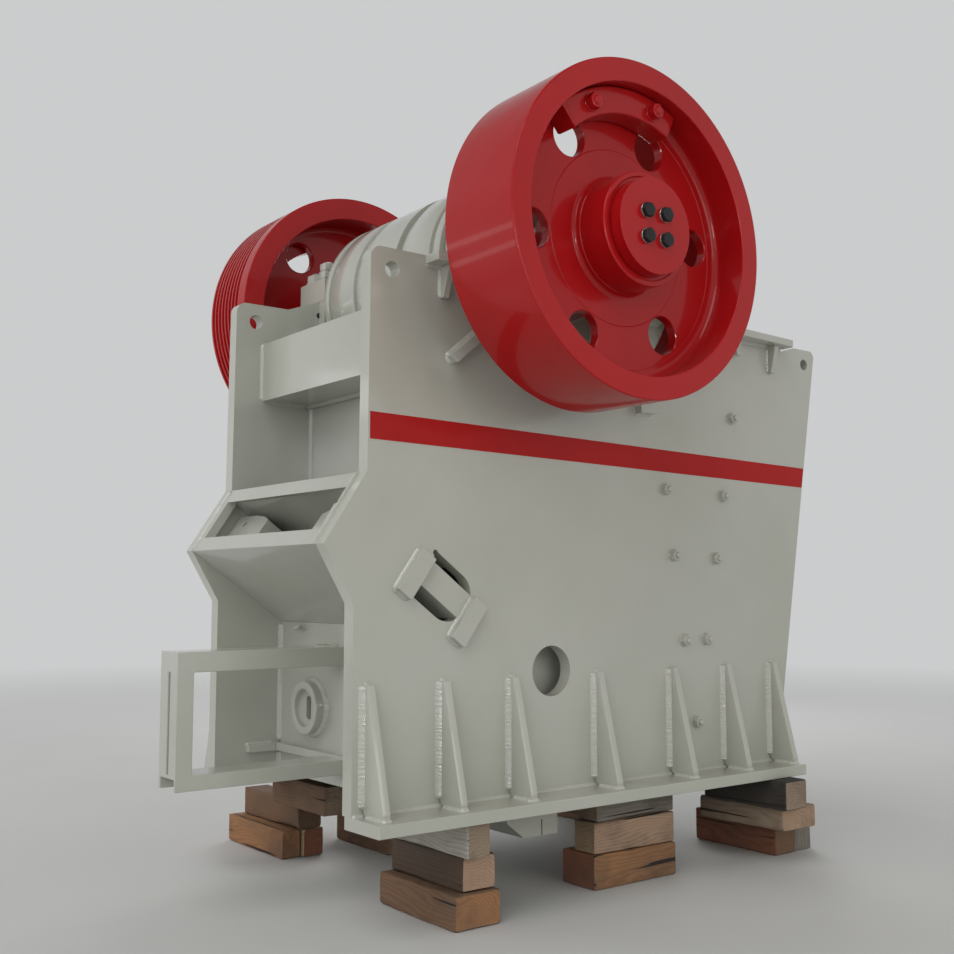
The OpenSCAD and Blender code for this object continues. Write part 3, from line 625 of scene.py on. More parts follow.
# %% Shelf, bracket and cross piece welds
WALL_X = 0.385
SHELF_UNDER = 2.533
STEP_UNDER = SHELF_UNDER + 0.078
SHELF_RUNS = [(0.387, 0.597, STEP_UNDER), (0.602, 0.798, SHELF_UNDER), (1.402, 3.060, SHELF_UNDER)]
BRACKET_T = 0.036
BRACKETS = [(0.470, STEP_UNDER, 0.155), (0.700, SHELF_UNDER, 0.174), (1.464, SHELF_UNDER, 0.174),
            (1.990, SHELF_UNDER, 0.174), (2.464, SHELF_UNDER, 0.174), (2.925, SHELF_UNDER, 0.166)]
BOX_REAR, BOX_TOP = Vector((-0.837, 0, 0.547)), Vector((0.596, 0, 0.803))
CROSS_RUNS = [((WALL_X, 0.226), (WALL_X, 0.870), BACK, 0.018),
              ((WALL_X, BASE_T + 0.004), (WALL_X, 0.176), BACK, 0.018),
              ((0.177, 0.222), (0.340, 0.222), UP, 0.009),
              ((-0.150, 1.264), (0.066, 1.594), BOX_REAR, 0.014),
              ((0.072, 1.594), (0.553, 1.236), BOX_TOP, 0.014),
              ((0.557, 1.250), (0.557, 2.104), BACK, 0.014),
              ((0.240, 2.109), (0.240, 2.429), BACK, 0.013),
              ((0.242, 2.431), (0.555, 2.431), UP, 0.013),
              ((0.242, 2.107), (0.520, 2.107), DOWN, 0.013)]

for side, s in SIDES.items():
    out, y = OUTWARD[side], s * PLATE_OUT
    work = bmesh.new()
    bead(work, at(0.004, y, BASE_T), at(BASE_L - 0.004, y, BASE_T), out, UP, 0.013)
    for x0, x1, z in SHELF_RUNS:
        bead(work, at(x0, y, z), at(x1, y, z), out, DOWN, 0.013)
    for x, top, drop in BRACKETS:
        for face, away in ((x, BACK), (x + BRACKET_T, FORWARD)):
            bead(work, at(face, y, top - drop + 0.004), at(face, y, top - 0.012), away, out, 0.011)
    weld_piece(f"plate_welds_{side}", work)

    work = bmesh.new()
    y = s * PLATE_IN
    for (x0, z0), (x1, z1), away, size in CROSS_RUNS:
        bead(work, at(x0, y, z0), at(x1, y, z1), away, -out, size)
    weld_piece(f"cross_welds_{side}", work)
print("welded", 2 * len(BRACKETS), "brackets")

# %% [markdown]
# The round bosses behind the lower rear wall take the toggle rods, and are welded all
# round. The bars and lugs on the side plates are welded on all four sides. The ribs of
# the front wall are out of the photograph's sight, and are welded in the same way. A
# T-shaped bolt and a small cut lug stand on the lower rear wall, above the bosses.

# %% Boss, lug and front rib welds
THRUST = math.radians(36.6)
BLOCK_X, BLOCK_Z = 0.505, 1.057
LUGS = [(0.615, 2.238, 40, 0.240, 0.046, 0.011), (1.845, 2.040, 3, 0.130, 0.050, 0.011),
        (2.600, 2.475, 90, 0.090, 0.040, 0.009)]


def block_round(mesh_work, centre_x, centre_z, lean, length, width, side, size):
    """Four welds round a flat bar on a side plate, leaning by an angle in X and Z."""
    along = spoke(lean)
    across = Vector((-math.sin(lean), 0, math.cos(lean)))
    foot = at(centre_x, SIDES[side] * PLATE_OUT, centre_z)
    for way, other, reach, half in ((along, across, width / 2, length / 2),
                                    (across, along, length / 2, width / 2)):
        for sign in (-1, 1):
            edge = foot + other * reach * sign
            bead(mesh_work, edge - way * half, edge + way * half, other * sign, OUTWARD[side], size)


for side in SIDES:
    work = bmesh.new()
    for step in (-1, 1):
        u, v = step * 0.1895, -0.050
        block_round(work, BLOCK_X + u * math.cos(THRUST) + v * math.sin(THRUST),
                    BLOCK_Z - u * math.sin(THRUST) + v * math.cos(THRUST),
                    -THRUST, 0.090, 0.236, side, 0.011)
    for x, z, lean, length, width, size in LUGS:
        block_round(work, x, z, math.radians(lean), length, width, side, size)
    weld_piece(f"lug_welds_{side}", work)

work = bmesh.new()
for s in (-1, 1):
    ring_bead(work, at(WALL_X, s * 0.286, 0.436), BACK, 0.140, 0.020)
for y in (-0.095, 0.095):
    for z, leg in ((0.675, DOWN), (0.770, UP)):
        bead(work, at(WALL_X, y * 0.999, z), at(WALL_X, y * 0.55, z), BACK, leg, 0.010)
weld_piece("boss_welds", work)

work = bmesh.new()
lathe(work, at(0.386, 0.400, 0.852), BACK,
      [(0.020, 0.0), (0.020, 0.006), (0.010, 0.008), (0.010, 0.052), (0.008, 0.054)], 16)
lathe(work, at(0.343, 0.370, 0.860), Vector((0, 1, -0.25)),
      [(0.008, 0.0), (0.011, 0.003), (0.011, 0.052), (0.008, 0.055)], 16)
lug = ((0.386, 0.715), (0.300, 0.722), (0.296, 0.752), (0.330, 0.772), (0.386, 0.772))
cut_plate(work, [at(x, 0.150, z) for x, z in lug], Vector((0, 0.022, 0)), 0.003)
finish_piece("rear_wall_fittings", work, pale_enamel)

FRONT_BACKS = 0.1943
RIB_LEVELS = (0.110, 0.580, 1.050, 1.520, 1.990, 2.440)
STIFFENERS = (-0.365, 0.0, 0.365)
work = bmesh.new()
for low, high in zip(RIB_LEVELS, RIB_LEVELS[1:]):
    for y in STIFFENERS:
        for way in (-1, 1):
            foot, top = (at(fixed_face(z) + FRONT_BACKS, y + way * 0.025, z)
                         for z in (low + 0.060, high - 0.006))
            bead(work, foot, top, FORWARD, Vector((0, way, 0)), 0.012)
weld_piece("front_welds", work)
print("welded", len(STIFFENERS) * (len(RIB_LEVELS) - 1), "front stiffeners")

# %% [markdown]
# ## The red stripe
# One straight red band crosses the outer face of each side plate. It is masked and
# sprayed over the pale enamel, so it stands proud by a film of paint and ends exactly
# at the plate's edges. A thin plate follows both leaning ends.

# %% Stripes
PAINT_FILM = (-0.0005, 0.0012)


def stripe(side):
    """A film of red on one side plate, from its rear edge to its leaning front edge."""
    work = bmesh.new()
    outline = ((0.081, 1.745), (front_edge(1.684) - 0.004, 1.684),
               (front_edge(1.804) - 0.004, 1.804), (0.081, 1.872))
    loft(work, [[at(x, SIDES[side] * (PLATE_OUT + film), z) for x, z in outline]
                for film in PAINT_FILM])
    finish_piece(f"stripe_{side}", work, stripe_enamel)


for side in SIDES:
    stripe(side)
print("stripes run from 0.08 to", round(front_edge(1.75), 3), "m")

# %% [markdown]
# ## The two heavy wheels
# The wheels are cast iron, turned on the rim and painted. Castings have no sharp inner
# corners: the web runs into rim and hub through broad fillets, and those fillets carry
# the long soft highlights of the photograph. So the wheels are spun from a profile
# whose corners are rounded, each by its own radius, instead of being bevelled later.
# The round holes are cut with six spool-shaped cutters, which also leaves the small
# chamfer of a drilled and deburred hole.

# %% Wheel builder
WHEEL_FACE_Y = 1.010
WEB_BACK, WEB_FRONT = 0.240, 0.300
HOLES, HOLE_R, HOLE_AT = 6, 0.095, 0.528


def rounded(corners, steps=6):
    """A closed profile of (radius, depth) from corners (radius, depth, fillet)."""
    profile = []
    for i, (r, d, fillet) in enumerate(corners):
        here = Vector((r, d))
        before = Vector(corners[i - 1][:2]) - here
        after = Vector(corners[(i + 1) % len(corners)][:2]) - here
        if fillet == 0:
            profile.append((r, d))
            continue
        half = before.angle(after) / 2
        reach = min(fillet / math.tan(half), 0.95 * before.length, 0.95 * after.length)
        radius = reach * math.tan(half)
        halfway = (before.normalized() + after.normalized()).normalized()
        middle = here + halfway * (radius / math.sin(half))
        first = here + before.normalized() * reach - middle
        last = here + after.normalized() * reach - middle
        turn = first.angle_signed(last)
        for k in range(steps + 1):
            angle = -turn * k / steps
            profile.append((middle.x + first.x * math.cos(angle) - first.y * math.sin(angle),
                            middle.y + first.x * math.sin(angle) + first.y * math.cos(angle)))
    return profile


def bored_wheel(name, side, corners, node):
    """A wheel spun about the axle on one side, with six holes through its web."""
    axis = OUTWARD[side]
    centre = at(AXLE_X, SIDES[side] * WHEEL_FACE_Y, AXLE_Z)
    work, cutters = bmesh.new(), bmesh.new()
    lathe(work, centre, axis, rounded(corners), 192, closed=True)
    wheel = finish_piece(name, work, red_enamel, "rotor")
    lip = 0.007
    wide = HOLE_R + lip
    spool = [(wide, WEB_BACK - 0.05), (wide, WEB_BACK), (HOLE_R, WEB_BACK + lip),
             (HOLE_R, WEB_FRONT - lip), (wide, WEB_FRONT), (wide, WEB_FRONT + 0.05)]
    for k in range(HOLES):
        middle = centre + spoke(math.radians(5 + 60 * k)) * HOLE_AT
        lathe(cutters, middle, axis, spool, 48)
    bmesh.ops.recalc_face_normals(cutters, faces=cutters.faces)
    cutter = put_in_scene(name + "_cutters", to_mesh(name + "_cutters", cutters))
    cut = wheel.modifiers.new("holes", "BOOLEAN")
    cut.operation = "DIFFERENCE"
    cut.solver = "EXACT"
    cut.object = cutter
    graph = bpy.context.evaluated_depsgraph_get()
    drilled = bpy.data.meshes.new_from_object(wheel.evaluated_get(graph))
    wheel.modifiers.remove(cut)
    wheel.data = drilled
    drilled.name = name
    bpy.data.objects.remove(cutter)
    shade_smooth(drilled, 32)
    wheel.modifiers.new("keep_flat", "WEIGHTED_NORMAL").keep_sharp = True
    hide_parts(node)
    return wheel


# %% [markdown]
# Both hubs are alike: a straight cylinder that meets the web in a small fillet, whose
# end has a turned face and a shallow step inside. The photograph shows the hub a second
# time, dark and upside down, because the web is polished enough to mirror it. The plain
# wheel has a smooth rim. The sheave has the same web, and its rim is grooved for eight
# V-belts beyond a short plain land.

# %% Flywheel and sheave
BORE, RIM_R, GROOVE_R = 0.1205, 0.805, 0.773
GROOVES, FIRST_LAND, GROOVE_PITCH = 8, 0.086, 0.044
HUB_BACK = [(BORE, 0.0, 0), (0.270, 0.0, 0.006), (0.270, WEB_BACK, 0.045)]
HUB_FRONT = [(0.276, WEB_FRONT, 0.030), (0.276, 0.330, 0.003), (0.272, 0.334, 0.003),
             (0.272, 0.490, 0.008), (0.247, 0.490, 0.003), (0.243, 0.484, 0.003),
             (BORE, 0.484, 0)]
WEB_RINGS = [(0.640, WEB_FRONT, 0.001), (0.636, WEB_FRONT - 0.003, 0.001),
             (0.428, WEB_FRONT - 0.003, 0.001), (0.424, WEB_FRONT, 0.001)]

plain_rim = [(0.700, WEB_BACK, 0.035), (0.692, 0.0, 0.006), (RIM_R, 0.0, 0.008),
             (RIM_R, 0.485, 0.008), (0.692, 0.485, 0.006), (0.700, WEB_FRONT, 0.042)]
flywheel = bored_wheel("flywheel_casting", "left",
                       HUB_BACK + plain_rim + WEB_RINGS + HUB_FRONT, "flywheel")

grooved_rim = [(0.680, WEB_BACK, 0.035), (0.672, 0.0, 0.006), (RIM_R, 0.0, 0.006)]
for i in range(GROOVES):
    c = FIRST_LAND + (i + 0.5) * GROOVE_PITCH
    grooved_rim += [(RIM_R, c - 0.0145, 0.0015), (GROOVE_R, c - 0.007, 0.003),
                    (GROOVE_R, c + 0.007, 0.003), (RIM_R, c + 0.0145, 0.0015)]
grooved_rim += [(RIM_R, 0.450, 0.004), (0.672, 0.450, 0.006), (0.680, WEB_FRONT, 0.036)]
sheave = bored_wheel("drive_sheave_casting", "right",
                     HUB_BACK + grooved_rim + WEB_RINGS + HUB_FRONT, "drive_sheave")
print("wheel faces:", len(flywheel.data.polygons), "and", len(sheave.data.polygons))

# %% [markdown]
# ## Fasteners
# Nuts and bolt heads are what gives a machine its scale. Four black bolts hold each
# hub cover, on bright spring washers that the photograph shows as a thin light ring.
# Each counterweight hangs on two studs with painted nuts.

# %% Hub bolts and counterweight nuts
COVER_FACE_Y, WEIGHT_FACE_Y, WEIGHT_STUDS_R = 1.560, 1.4303, 0.625
heads, rings, weight_nuts = bmesh.new(), bmesh.new(), bmesh.new()
for side, s in SIDES.items():
    out = OUTWARD[side]
    for dx in (-0.060, 0.060):
        for dz in (-0.060, 0.060):
            spot = at(AXLE_X + dx, s * COVER_FACE_Y, AXLE_Z + dz)
            lathe(rings, spot, out,
                  [(0.0355, 0.0), (0.0355, 0.004), (0.034, 0.006), (0.020, 0.006)], 32)
            hexagon(heads, spot + out * 0.006, out, 0.063, 0.023, 0.3 + dx * 9 + dz * 5)
    for degrees in (116.3, 78.4):
        angle = math.radians(degrees)
        spot = at(AXLE_X + WEIGHT_STUDS_R * math.cos(angle), s * WEIGHT_FACE_Y,
                  AXLE_Z + WEIGHT_STUDS_R * math.sin(angle))
        nut_on_washer(weight_nuts, spot, out, 0.044, angle, 0.12)
bolt_heads = finish_piece("hub_bolt_heads", heads, black_enamel, "rotor")
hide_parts("hub_bolts")
finish_piece("hub_spring_washers", rings, turned_steel, "rotor")
finish_piece("counterweight_nuts", weight_nuts, red_enamel, "rotor")
print("hub bolts", 8, "and counterweight nuts", 4)

# %% [markdown]
# The cheek plates inside the crushing chamber are bolted through the side plates. Their
# studs end outside in two rows, each with washer and nut, sprayed over with the frame.
# The bearing caps are held down by four large studs each.

# %% Cheek plate and bearing cap nuts
CAP_FOOT_Z = 2.864
cheek_rows = [(fixed_face(z) - 0.130, z) for z in (0.325, 0.780, 1.235, 1.596, 2.058)]
cheek_rows += [(moving_face(z) + 0.090, z) for z in (0.777, 1.247, 1.611)]
cheek_nuts, cap_nuts = bmesh.new(), bmesh.new()
for side, s in SIDES.items():
    for x, z in cheek_rows:
        spot = at(x, s * PLATE_OUT, z)
        nut_on_washer(cheek_nuts, spot, OUTWARD[side], 0.036, x * 9 + z * 5, 0.40)
    for x in (0.662, 1.538):
        nut_on_washer(cap_nuts, at(x, s * 0.796, CAP_FOOT_Z), UP, 0.060, x * 3, 0.18)
nuts = finish_piece("cheek_plate_nuts", cheek_nuts, pale_enamel)
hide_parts("cheek_bolts")
finish_piece("cap_nuts", cap_nuts, pale_enamel)
print("cheek plate nuts", 2 * len(cheek_rows))

# %% [markdown]
# ## Bearing details
# Towards the jaw head each cap foot has a taller block with a joint line, which holds
# the inner studs. A ring with small screws closes the bearing where the shaft comes
# out. A black grease plug and a plain round stud sit on the inner face of each side
# plate. They are all small, but they fill places round the bearings which would
# otherwise look empty from behind and from above.

# %% Cap blocks, seal rings and grease fittings
SEAL_SCREWS = 10
SEAL_PROFILE = rounded([(0.135, 0.0, 0), (0.290, 0.0, 0.003), (0.290, 0.016, 0.004),
                        (0.205, 0.016, 0.003), (0.200, 0.040, 0.006), (0.160, 0.040, 0.004),
                        (0.156, 0.052, 0.003), (0.135, 0.052, 0)], 3)
PLUG_PROFILE = [(0.016, -0.001), (0.016, 0.003), (0.013, 0.005), (0.008, 0.005), (0.007, 0.001)]
STUD_PROFILE = rounded([(0.0, -0.002, 0), (0.017, -0.002, 0), (0.017, 0.022, 0.007),
                        (0.0, 0.022, 0)], 4)[1:-1]
def soft_block(mesh_work, low, high, radius):
    """A block between two corners whose edges are rounded in three steps."""
    made = bmesh.ops.create_cube(mesh_work, size=1.0)["verts"]
    low, high = Vector(low), Vector(high)
    lower = Vector([min(a, b) for a, b in zip(low, high)])
    upper = Vector([max(a, b) for a, b in zip(low, high)])
    for vert in made:
        vert.co = Vector([lower[k] + (vert.co[k] + 0.5) * (upper[k] - lower[k]) for k in range(3)])
    edges = list({edge for vert in made for edge in vert.link_edges})
    bmesh.ops.bevel(mesh_work, geom=edges, offset=radius, segments=3, profile=0.5, affect="EDGES")


cap_blocks, seals, plugs, studs = (bmesh.new() for _ in range(4))
for side, s in SIDES.items():
    out = OUTWARD[side]
    for x in (0.602, 1.500):
        soft_block(cap_blocks, at(x, s * 0.600, CAP_FOOT_Z + 0.0005),
                   at(x + 0.098, s * 0.668, CAP_FOOT_Z + 0.048), 0.006)
        soft_block(cap_blocks, at(x + 0.004, s * 0.604, CAP_FOOT_Z + 0.050),
                   at(x + 0.094, s * 0.664, CAP_FOOT_Z + 0.094), 0.005)
        hexagon(cap_blocks, at(x + 0.049, s * 0.634, CAP_FOOT_Z + 0.094), UP, 0.040, 0.010, x)
    face = at(AXLE_X, s * 0.8805, AXLE_Z)
    lathe(seals, face, out, SEAL_PROFILE, 96, closed=True)
    for k in range(SEAL_SCREWS):
        angle = math.radians(18 + 36 * k)
        hexagon(seals, face + spoke(angle) * 0.262 + out * 0.016, out, 0.024, 0.010, angle)
    lathe(plugs, at(0.599, s * PLATE_IN, 2.648), -out, PLUG_PROFILE, 24)
    lathe(studs, at(0.672, s * PLATE_IN, 2.734), -out, STUD_PROFILE, 24)
finish_piece("cap_blocks", cap_blocks, pale_enamel)
finish_piece("grease_plugs", plugs, black_enamel)
finish_piece("grease_studs", studs, pale_enamel)
finish_piece("bearing_seal_rings", seals, pale_enamel)
print("seal screws", 2 * SEAL_SCREWS)

# %% [markdown]
# ## Bands of the jaw head
# The photograph shows two broad grooves, evenly placed, and a narrower one near each end
# of the swing jaw's head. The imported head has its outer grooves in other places. Strips
# of casting laid over its outer lands give the seen pattern. They follow the round head
# over its rear, top and front and taper off where the jaw's front face begins.

# %% Head bands
HEAD_Z, HEAD_R = 2.712, 0.500
BAND_FOOT_R, BAND_END_R, BAND_R = 0.494, 0.4985, 0.519
BAND_FROM, BAND_TO, BAND_STEPS = -16, 206, 96


def head_band(mesh_work, low_y, high_y):
    """A raised strip round the rear and the top of the jaw head."""
    rings = []
    for i in range(BAND_STEPS + 1):
        degrees = BAND_FROM + (BAND_TO - BAND_FROM) * i / BAND_STEPS
        edge = min(1.0, min(i, BAND_STEPS - i) / 3)
        r = BAND_END_R + (BAND_R - BAND_END_R) * edge
        soft = 0.005 * edge
        ring = [(low_y, BAND_FOOT_R), (low_y, r - soft), (low_y + soft * 0.3, r - soft * 0.3),
                (low_y + soft, r), (high_y - soft, r), (high_y - soft * 0.3, r - soft * 0.3),
                (high_y, r - soft), (high_y, BAND_FOOT_R)]
        rings.append([at(AXLE_X, y, HEAD_Z) + spoke(math.radians(degrees)) * radius
                      for y, radius in ring])
    loft(mesh_work, rings)


bands = bmesh.new()
for s in (-1, 1):
    for first, last in ((0.245, 0.478), (0.515, 0.568)):
        head_band(bands, min(s * first, s * last), max(s * first, s * last))
finish_piece("jaw_head_bands", bands, pale_enamel, "jaw")
print("head bands stand", round((BAND_R - HEAD_R) * 1000), "mm proud")

# %% [markdown]
# ## Timbers
# The crusher stands on old sawn timbers, and no two are alike: some grey from the
# weather, some brown and oily, with chipped edges and rough sawn ends. The grain has to
# follow each block's own length, so every point keeps three numbers of its own: how far
# along the block it is, and where across it. From these the finish draws growth rings
# round a heart line, and stretches fibres, stains and cracks along the block.

# %% Timber finish
RINGS_PER_METRE = 430.0


def sawn_timber(name):
    """Old timber: growth rings round a heart line, fibres, cracks and stains."""
    finish, tree, shader = new_finish(name)
    grain = add_node(tree, "ShaderNodeAttribute", attribute_name="grain").outputs["Vector"]
    note = add_node(tree, "ShaderNodeAttribute", attribute_name="tone").outputs
    tone, on_sides = note["Color"], note["Alpha"]
    across = add_node(tree, "ShaderNodeMapping", {"Vector": grain, "Scale": (0.0, 1.0, 1.0)})
    from_heart = add_node(tree, "ShaderNodeVectorMath", {0: across.outputs["Vector"]},
                          operation="LENGTH").outputs["Value"]
    wander = cloud(tree, grain, 5.0, 3.0, 0.5, (0.22, 1.0, 1.0))
    wander = between(tree, wander, 0.2, 0.8, -0.050, 0.050)
    count = reckon(tree, "MULTIPLY", reckon(tree, "ADD", from_heart, wander), RINGS_PER_METRE)
    ring_line = between(tree, reckon(tree, "SINE", count), -0.6, 1.0)
    fibre = cloud(tree, grain, 150.0, 4.0, 0.65, (0.03, 1.0, 1.0))
    stain = between(tree, cloud(tree, grain, 3.4, 5.0, 0.65, (0.6, 1.0, 1.0)), 0.44, 0.66)
    crack = between(tree, cloud(tree, grain, 34.0, 2.0, 0.4, (0.035, 1.0, 1.0)), 0.665, 0.695)
    crack = reckon(tree, "MULTIPLY", crack, on_sides)
    dark_tone = add_node(tree, "ShaderNodeHueSaturation",
                         {"Color": tone, "Value": 0.42, "Saturation": 1.15}).outputs["Color"]
    lines = reckon(tree, "MULTIPLY", ring_line, between(tree, fibre, 0.25, 0.75, 0.35, 1.0))
    wood = blend_colours(tree, between(tree, lines, 0.0, 1.0, 0.0, 0.50), tone, dark_tone)
    wood = blend_colours(tree, between(tree, stain, 0.0, 1.0, 0.0, 0.55), wood,
                         (0.075, 0.060, 0.048, 1))
    wood = blend_colours(tree, crack, wood, (0.022, 0.016, 0.012, 1))
    fill(tree, shader, {"Base Color": wood, "Roughness": 0.82})
    gap = between(tree, crack, 0.0, 1.0, 1.0, 0.0)
    roughen(tree, shader, [(fibre, 0.0012), (ring_line, 0.0002), (gap, 0.003)])
    return finish


old_timber = sawn_timber("old_timber")
print("timber finish has", len(old_timber.node_tree.nodes), "nodes")

# %% [markdown]
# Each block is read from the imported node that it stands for, so it fits the stack
# exactly. It is then rebuilt as a long loft whose corners wear away unevenly, always
# inwards. A box with bevelled edges would be quicker, but every edge would be alike.

# %% Timber builder
sawyer = random.Random(7)


def solids_of(node):
    """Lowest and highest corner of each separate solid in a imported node."""
    work = bmesh.new()
    work.from_mesh(frame["nodes"][node].data)
    bmesh.ops.remove_doubles(work, verts=work.verts, dist=0.00005)
    left = {vert.index for vert in work.verts}
    work.verts.ensure_lookup_table()
    found = []
    while left:
        open_ends = [left.pop()]
        group = []
        while open_ends:
            vert = work.verts[open_ends.pop()]
            group.append(tuple(vert.co))
            for edge in vert.link_edges:
                other = edge.other_vert(vert).index
                if other in left:
                    left.discard(other)
                    open_ends.append(other)
        found.append((Vector([min(c[k] for c in group) for k in range(3)]),
                      Vector([max(c[k] for c in group) for k in range(3)])))
    work.free()
    return sorted(found, key=lambda box: (box[0].y + box[1].y > 0,
                                          round(box[0].z, 2), round(box[0].x, 2)))


def timber(mesh_work, low, high, side_tone, end_tone, wear):
    """One worn timber inside a box, its grain along the longest side."""
    points, corners = mesh_work.verts.layers.float_vector, mesh_work.loops.layers.float_color
    note = points.get("grain") or points.new("grain")
    tint = corners.get("tone") or corners.new("tone")
    size = high - low
    long = max(range(3), key=lambda k: size[k])
    wide, tall = [k for k in range(3) if k != long]
    half_w, half_t = size[wide] / 2, size[tall] / 2
    middle = (low + high) / 2
    heart = (sawyer.uniform(-0.10, 0.10), sawyer.uniform(-0.16, -0.04))
    shift = sawyer.uniform(0, 40)
    count = max(8, int(size[long] / 0.022))
    along = [0.0, 0.004] + [0.012 + (size[long] - 0.024) * i / count for i in range(count + 1)]
    along += [size[long] - 0.004, size[long]]
    rows = []

    def point(run, u, v):
        place = Vector((0, 0, 0))
        place[long] = low[long] + run
        place[wide] = middle[wide] + u
        place[tall] = middle[tall] + v
        vert = mesh_work.verts.new(place)
        vert[note] = Vector((run + shift, u - heart[0], v - heart[1]))
        return vert

    for run in along:
        end_gap = min(run, size[long] - run)
        inset = 0.005 if end_gap < 0.001 else 0.0015 if end_gap < 0.006 else 0.0
        worn = []
        for corner in range(4):
            chip = noise.noise(Vector((run * 3.5 + shift, corner * 7.3, 0.5)))
            nick = noise.noise(Vector((run * 17.0 + shift, corner * 3.1, 9.5)))
            worn.append(0.006 + wear * (0.030 * max(0.0, chip - 0.08) + 0.012 * max(0.0, nick)))
        ring = []
        signs = ((1, 1), (-1, 1), (-1, -1), (1, -1))
        for corner, (su, sv) in enumerate(signs):
            c = min(worn[corner], half_w * 0.45, half_t * 0.45)
            start = math.atan2(sv, su) - math.pi / 4
            for k in range(4):
                a = start + math.pi / 2 * k / 3
                ring.append((su * (half_w - c) + math.cos(a) * c,
                             sv * (half_t - c) + math.sin(a) * c))
            next_c = min(worn[(corner + 1) % 4], half_w * 0.45, half_t * 0.45)
            nu, nv = signs[(corner + 1) % 4]
            last = ring[-1]
            a = start + math.pi / 2
            goal = (nu * (half_w - next_c) + math.cos(a) * next_c,
                    nv * (half_t - next_c) + math.sin(a) * next_c)
            for k in range(1, 6):
                ring.append((last[0] + (goal[0] - last[0]) * k / 6,
                             last[1] + (goal[1] - last[1]) * k / 6))
        row = []
        for u, v in ring:
            dent = 0.0016 * (1 + noise.noise(Vector((run * 6 + shift, u * 9, v * 9))))
            dent += 0.0010 * (1 + noise.noise(Vector((run * 2 + shift, u * 60, v * 60))))
            keep_u = max(0.0, 1 - (dent + inset) / half_w)
            keep_v = max(0.0, 1 - (dent + inset) / half_t)
            row.append(point(run, u * keep_u, v * keep_v))
        rows.append((run, row))
    faces = []
    for (_, a), (_, b) in zip(rows, rows[1:]):
        for i in range(len(a)):
            j = (i + 1) % len(a)
            faces.append((mesh_work.faces.new((a[i], a[j], b[j], b[i])), side_tone))
    for (run, row), inner_way in ((rows[0], 1), (rows[-1], -1)):
        outer = row
        for share in (0.86, 0.66, 0.44, 0.22):
            inner = []
            for vert in row:
                u, v = vert.co[wide] - middle[wide], vert.co[tall] - middle[tall]
                saw = 0.0025 * (1 + noise.noise(Vector((u * 22, v * 40, shift))))
                inner.append(point(run + inner_way * saw, u * share, v * share))
            for i in range(len(outer)):
                j = (i + 1) % len(outer)
                quad = (outer[i], outer[j], inner[j], inner[i])
                faces.append((mesh_work.faces.new(quad), end_tone))
            outer = inner
        faces.append((mesh_work.faces.new(outer), end_tone))
    for face, tone in faces:
        for loop in face.loops:
            loop[tint] = tone


# %% [markdown]
# The tones are set block by block, from the bottom row up, and the far stacks follow
# the near ones. In each pair the first tone is for the long sides and the second for
# the sawn ends, which stay paler because no boot or oil reaches them. The fourth
# number of a tone says where cracks may show: along the sides, not in the ends.

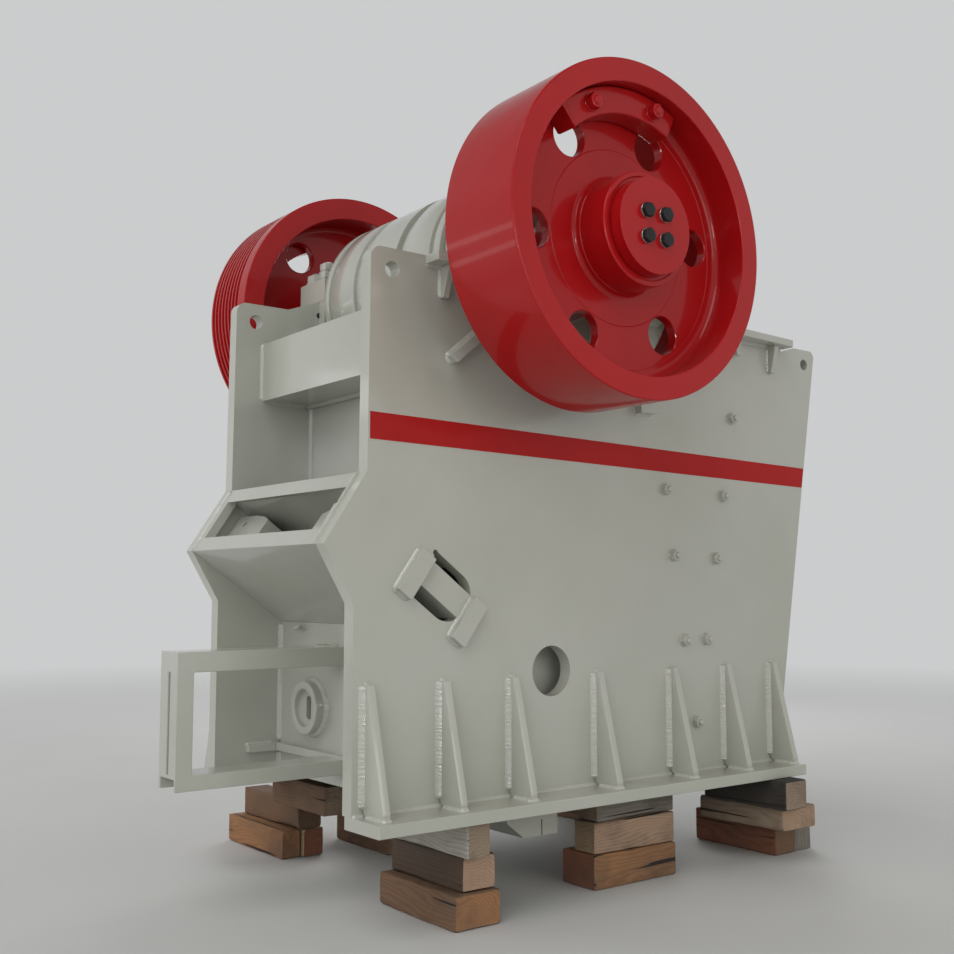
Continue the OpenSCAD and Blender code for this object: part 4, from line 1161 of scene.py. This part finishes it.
# %% Timber stacks
GREY, PALE, TAN = (0.215, 0.195, 0.165), (0.400, 0.385, 0.340), (0.360, 0.250, 0.155)
BROWN, DARK, ORANGE = (0.185, 0.105, 0.062), (0.085, 0.056, 0.038), (0.335, 0.165, 0.075)
REDDISH, BLACK, PINK = (0.235, 0.090, 0.050), (0.030, 0.026, 0.024), (0.430, 0.285, 0.195)
DRAB = (0.300, 0.225, 0.160)
STACKS = {
    "rear_timbers": [(BROWN, ORANGE), (DARK, PINK), (PALE, DRAB), (ORANGE, ORANGE),
                     (TAN, REDDISH), (BROWN, BROWN), (BROWN, DRAB)],
    "middle_timbers": [(ORANGE, REDDISH), (PINK, TAN), (GREY, DRAB), (BROWN, TAN),
                       (TAN, DRAB), (GREY, TAN), (BROWN, TAN)],
    "front_timbers": [(REDDISH, BROWN), (GREY, GREY), (DRAB, PINK), (BLACK, DRAB),
                      (BROWN, TAN), (TAN, DRAB), (GREY, TAN)]}
for node, tones in STACKS.items():
    work = bmesh.new()
    boxes = solids_of(node)
    for (low, high), (side_tone, end_tone) in zip(boxes, tones):
        timber(work, low, high, (*side_tone, 1.0), (*end_tone, 0.0), sawyer.uniform(0.7, 1.3))
    stack = finish_piece(f"{node}_worn", work, old_timber, "frame", 50)
    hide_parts(node)
    print(node, len(boxes), "blocks,", len(stack.data.polygons), "faces")

# %% [markdown]
# ## Floor
# A plain pale floor takes the machine's shadow. It isn't part of the object. Far from
# the machine it turns, for the camera and for reflections, into the tone of the air
# behind it, as a sweep of backdrop paper does, so that no hard horizon crosses the
# picture. The light that the floor gives back to the machine stays as it is.

# %% Floor
ground = bmesh.new()
bmesh.ops.create_grid(ground, x_segments=24, y_segments=24, size=90.0)
floor_mesh = to_mesh("workshop_floor", ground)
floor_finish, tree, shader = new_finish("pale_floor")
place = tree.nodes.new("ShaderNodeTexCoord").outputs["Object"]
drift = cloud(tree, place, 0.8, 5.0)
fill(tree, shader, {
    "Base Color": blend_colours(tree, drift, (0.54, 0.54, 0.53, 1), (0.60, 0.60, 0.59, 1)),
    "Roughness": 0.75})
distance = add_node(tree, "ShaderNodeVectorMath", {0: place}, operation="LENGTH")
far_away = between(tree, distance.outputs["Value"], 3.0, 19.0)
rays = tree.nodes.new("ShaderNodeLightPath").outputs
looked_at = reckon(tree, "MAXIMUM", rays["Is Camera Ray"], rays["Is Glossy Ray"])
distant_air = add_node(tree, "ShaderNodeEmission", {"Color": AIR_TONE})
sweep = add_node(tree, "ShaderNodeMixShader", {
    "Fac": reckon(tree, "MULTIPLY", far_away, looked_at),
    1: shader.outputs["BSDF"], 2: distant_air.outputs[0]})
floor_out = next(node for node in tree.nodes if node.type == "OUTPUT_MATERIAL")
fill(tree, floor_out, {"Surface": sweep.outputs[0]})
floor_mesh.materials.append(floor_finish)
floor = put_in_scene("workshop_floor", floor_mesh)
print("floor", floor.dimensions.x, "m wide")
